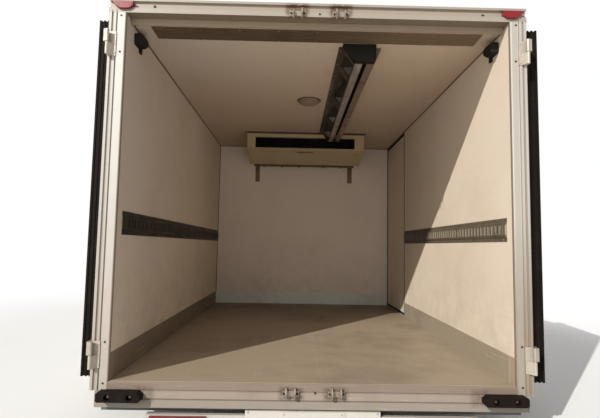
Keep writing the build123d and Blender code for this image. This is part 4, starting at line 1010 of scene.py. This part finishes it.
class TRUCKBODY_OT_trims(bpy.types.Operator):
    """Rivet rows in the outer edge trims and corner posts"""

    bl_idname = "truckbody.trims"
    bl_label = "Trims"

    def execute(self, context):
        rivet = context.scene.body_sizes.rivet_radius
        face, lap, proud = OUT_X + 0.004, 0.022, 0.084
        length = [REAR_Y + 0.180 + 0.190 * index for index in range(17)]
        heights = (0.42, 0.62, 0.82, 1.02, 1.22, 1.42, 1.62, 1.82, 1.95, 2.18)
        for side in SIDES:
            edges = [(side * face, y, z) for y in length for z in (CEIL_Z + lap, FLOOR_Z - lap)]
            roof = [(side * (OUT_X - lap), y, CEIL_Z + proud) for y in length]
            post = [(side * (OUT_X - 0.030), FRONT_IN + proud, z) for z in heights]
            rows = (
                ("trim_rivets_", edges, OUTWARD[side]),
                ("roof_rivets_", roof, "+z"),
                ("post_rivets_", post, "+y"),
            )
            for name, points, facing in rows:
                fasteners(name + LABEL[side], points, facing, rivet, 0.002, "trim_aluminium")
        return {"FINISHED"}


class TRUCKBODY_OT_cooling(bpy.types.Operator):
    """Screws and blank badge of the evaporator; guard wires, cover strip and screws of the condenser"""

    bl_idname = "truckbody.cooling"
    bl_label = "Cooling Unit"

    def execute(self, context):
        self.evaporator()
        self.condenser(context.scene.body_sizes)
        return {"FINISHED"}

    def evaporator(self):
        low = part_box("evaporator_housing")[0]
        front = low[1] + 0.008
        points = [(side * 0.612, front, under(drop)) for side in SIDES for drop in (40, 150)]
        fasteners("evaporator_screws", points, "-y", 0.0045, 0.002)
        rows = spaced(low[1] + 0.06, FRONT_IN - 0.06, 0.155)
        flange = [(side * 0.650, y, CEIL_Z - 0.010) for side in SIDES for y in rows]
        fasteners("evaporator_flange_screws", flange, "-z", 0.0050, 0.0025)
        slope = Vector((0.0, 371.0, -92.0)).normalized()
        normal = Vector((0.0, -92.0, -371.0)).normalized()
        place = Vector((0.0, front + 0.0745, under(203)))
        run = (place - X * 0.097, place + X * 0.087, slope, normal)
        swept("blank_badge", "black_plastic", flat_strip(0.007, 0.005), [run])

    def condenser(self, sizes):
        low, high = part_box("fan_guards")
        depth, height = middle(low[1], high[1]), middle(low[2], high[2])
        axle, smallest, pitch, count = 0.270, 0.056, 0.0155, 8
        shape = bmesh.new()
        for side in SIDES:
            for step in range(count):
                wire_ring(shape, (side * axle, depth, height), smallest + pitch * step, sizes.guard_wire)
        shaped("guard_wires", "black_plastic", shape)
        low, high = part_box("condenser_housing")
        run = ((0.0, high[1], low[2] + 0.070), (0.0, high[1], high[2] - 0.120), X, Y)
        swept("condenser_cover_strip", "trim_aluminium", flat_strip(0.012, 0.009), [run])
        rows = spaced(low[2] + 0.04, high[2] - 0.04, 0.107)
        for side in SIDES:
            points = [(side * high[0], low[1] + 0.022, z) for z in rows]
            fasteners("condenser_screws_" + LABEL[side], points, OUTWARD[side], 0.0055, 0.0025)


class TRUCKBODY_OT_underside(bpy.types.Operator):
    """Screws of the plate and tail lamps, console bolts and crossmember welds"""

    bl_idname = "truckbody.underside"
    bl_label = "Underside"

    def execute(self, context):
        plate = [(x, forward(20), above(z)) for x in (-0.150, 0.150) for z in (-162, -243)]
        fasteners("plate_screws", plate, "-y", 0.0050, 0.002)
        carrier = [(x, forward(24), above(z)) for x in (-0.335, 0.335) for z in (-155, -249)]
        fasteners("carrier_screws", carrier, "-y", 0.0055, 0.0025)
        lamps = [(side * x, REAR_Y, above(-223)) for side in SIDES for x in (0.562, 0.827)]
        fasteners("tail_lamp_screws", lamps, "-y", 0.0040, 0.0015)
        runner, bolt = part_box("subframe_runners")[1][0], context.scene.body_sizes.bolt_radius
        corners = [(reach, z) for reach in (-0.038, 0.038) for z in (0.045, 0.088)]
        places = [(y + reach, z) for y in (-1.1, 0.0, 1.1) for reach, z in corners]
        for side in SIDES:
            heads = [(side * (runner + 0.010), *place) for place in places]
            fasteners("console_bolts_" + LABEL[side], heads, OUTWARD[side], bolt, 0.006, "lock_steel", 6)
        low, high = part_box("crossmembers")
        count, width, bead = 9, 0.045, 0.006
        outline = ((0, 0), (bead, 0), (bead * 0.75, bead * 0.55), (bead * 0.3, bead * 0.95), (0, bead))
        runs = []
        for index in range(count):
            y = low[1] + index * (high[1] - low[1] - width) / (count - 1)
            for side in SIDES:
                start, end = side * (runner - 0.058), side * (runner - 0.002)
                runs.append(((start, y, low[2]), (end, y, low[2]), -Y, Z))
        swept("crossmember_welds", "subframe_grey", outline, runs)
        return {"FINISHED"}


class TRUCKBODY_OT_sealant(bpy.types.Operator):
    """Beads of sealant in the inner corners"""

    bl_idname = "truckbody.sealant"
    bl_label = "Sealant"

    def execute(self, context):
        width = context.scene.body_sizes.bead_width
        outline = ((0, 0), (width, 0), (width * 0.45, width * 0.45), (0, width))
        left, right, start = -WALL_X, WALL_X, forward(82)
        wall_end, jamb = FRONT_IN - 0.0005, 0.742
        runs = (
            ((left, start, CEIL_Z), (left, wall_end, CEIL_Z), X, -Z),
            ((right, start, CEIL_Z), (right, jamb, CEIL_Z), -X, -Z),
            ((left, FRONT_IN, above(142)), (left, FRONT_IN, CEIL_Z), X, -Y),
            ((left, FRONT_IN, CEIL_Z), (right, FRONT_IN, CEIL_Z), -Y, -Z),
        )
        swept("sealant_beads", "strip_brown", outline, runs)
        return {"FINISHED"}


class TRUCKBODY_OT_stage(bpy.types.Operator):
    """Camera, floor, backdrop and light"""

    bl_idname = "truckbody.stage"
    bl_label = "Stage"

    def execute(self, context):
        settings = context.scene.stage_settings
        self.camera(context.scene)
        self.floor(settings)
        self.light(context.scene, settings)
        return {"FINISHED"}

    def camera(self, scene):
        """The camera solved from the photograph."""
        focal_px, frame_px = 455.24, 600.0
        place = Vector((-0.1209, REAR_Y - 2.4021, FLOOR_Z + 0.7053))
        yaw, pitch, roll = 0.0145, 0.0809, 0.0182
        ahead = Vector((sin(yaw) * cos(pitch), cos(yaw) * cos(pitch), sin(pitch)))
        right = Vector((cos(yaw), -sin(yaw), 0.0))
        up = right.cross(ahead)
        rolled_right = right * cos(roll) + up * sin(roll)
        rolled_up = up * cos(roll) - right * sin(roll)
        data = bpy.data.cameras.new("photo_camera")
        data.sensor_width = 36.0
        data.sensor_fit = "HORIZONTAL"
        data.lens = data.sensor_width * focal_px / frame_px
        data.clip_end = 200.0
        camera = bpy.data.objects.new("photo_camera", data)
        turn = Matrix((rolled_right, rolled_up, -ahead)).transposed().to_4x4()
        camera.matrix_world = Matrix.Translation(place) @ turn
        scene.collection.objects.link(camera)
        scene.camera = camera
        scene.view_settings.view_transform = "Standard"

    def seen(self, tree):
        """1 for the rays that the eye follows: straight, mirrored or through glass."""
        path = tree.nodes.new("ShaderNodeLightPath").outputs
        mirrored = maths(tree, "MAXIMUM", path["Is Camera Ray"], path["Is Glossy Ray"])
        return maths(tree, "MAXIMUM", mirrored, path["Is Transmission Ray"])

    def floor(self, settings):
        """A floor that keeps the object's shadow, is white to the eye far away and clear from below."""
        ground = Surface("studio_floor", 0.9, tuple(settings.floor_colour))
        tree = ground.tree
        ground.cover(ground.grain(0.6), tuple(value * 0.94 for value in settings.floor_colour))
        reach = new_node(tree, "ShaderNodeVectorMath", Vector=scaled(tree, ground.place, (1.0, 0.8, 0.0)))
        reach.operation = "LENGTH"
        far = ramp(tree, reach.outputs["Value"], settings.shadow_reach * 0.45, settings.shadow_reach)
        from_below = tree.nodes.new("ShaderNodeNewGeometry").outputs["Backfacing"]
        surface = ground.shader.outputs[0]
        layers = (
            (product(tree, far, self.seen(tree)), "ShaderNodeEmission"),
            (from_below, "ShaderNodeBsdfTransparent"),
        )
        for mask, kind in layers:
            mix = tree.nodes.new("ShaderNodeMixShader")
            for index, value in enumerate((mask, surface, tree.nodes.new(kind).outputs[0])):
                feed(tree, mix.inputs[index], value)
            surface = mix.outputs[0]
        feed(tree, tree.nodes["Material Output"].inputs["Surface"], surface)
        half = 40.0
        shape = bmesh.new()
        bmesh.ops.create_grid(shape, x_segments=1, y_segments=1, size=half)
        floor = bpy.data.objects.new("studio_floor", mesh_from("studio_floor", shape, ground.made()))
        bpy.context.scene.collection.objects.link(floor)

    def light(self, scene, settings):
        """A white backdrop with even light, a low sun and two soft lamps."""
        world = bpy.data.worlds.new("studio")
        scene.world = world
        world.use_nodes = True
        tree = world.node_tree
        strength = span(tree, self.seen(tree), settings.fill_strength, 1.0)
        fill(tree, tree.nodes["Background"], {"Color": (1.0, 1.0, 1.0), "Strength": strength})
        sun = bpy.data.lights.new("sun", "SUN")
        sun.energy = settings.sun_strength
        sun.angle = radians(0.6)
        sun.color = (1.0, 0.97, 0.92)
        self.hang(scene, sun, (-4.0, -6.0, 5.0), Vector((0.783, 1.0, -0.755)))
        lamps = (
            ("key", settings.key_power, (-2.4, -7.4, 3.6), (0.3, 0.6, 1.1)),
            ("rim", settings.rim_power, (6.0, 6.5, 2.7), (0.3, 0.5, 1.1)),
        )
        for name, power, place, aim in lamps:
            data = bpy.data.lights.new(name, "AREA")
            data.energy = power
            data.size = 4.0
            data.color = (1.0, 0.97, 0.93)
            self.hang(scene, data, place, Vector(aim) - Vector(place))

    def hang(self, scene, data, place, way):
        """A lamp at a place that shines along a direction."""
        lamp = bpy.data.objects.new(data.name, data)
        turn = way.to_track_quat("-Z", "Y").to_matrix().to_4x4()
        lamp.matrix_world = Matrix.Translation(place) @ turn
        scene.collection.objects.link(lamp)


class TRUCKBODY_PT_panel(bpy.types.Panel):
    bl_idname = "TRUCKBODY_PT_panel"
    bl_label = "Truck Body"
    bl_space_type = "VIEW_3D"
    bl_region_type = "UI"
    bl_category = "Truck Body"

    def draw(self, context):
        layout = self.layout
        for settings in (context.scene.body_sizes, context.scene.stage_settings):
            for name in settings.__annotations__:
                layout.prop(settings, name)
        for operator in OPERATORS:
            layout.operator(operator.bl_idname)


OPERATORS = (
    TRUCKBODY_OT_stage,
    TRUCKBODY_OT_finishes,
    TRUCKBODY_OT_frame_screws,
    TRUCKBODY_OT_door_fittings,
    TRUCKBODY_OT_lining,
    TRUCKBODY_OT_trims,
    TRUCKBODY_OT_cooling,
    TRUCKBODY_OT_underside,
    TRUCKBODY_OT_sealant,
)
CLASSES = (BodySizes, StageSettings, *OPERATORS, TRUCKBODY_PT_panel)


def register():
    for item in CLASSES:
        bpy.utils.register_class(item)
    bpy.types.Scene.body_sizes = bpy.props.PointerProperty(type=BodySizes)
    bpy.types.Scene.stage_settings = bpy.props.PointerProperty(type=StageSettings)


def unregister():
    del bpy.types.Scene.stage_settings
    del bpy.types.Scene.body_sizes
    for item in reversed(CLASSES):
        bpy.utils.unregister_class(item)


def main():
    register()
    for operator in OPERATORS:
        group_name, action = operator.bl_idname.split(".")
        getattr(getattr(bpy.ops, group_name), action)()


if __name__ == "__main__":
    main()
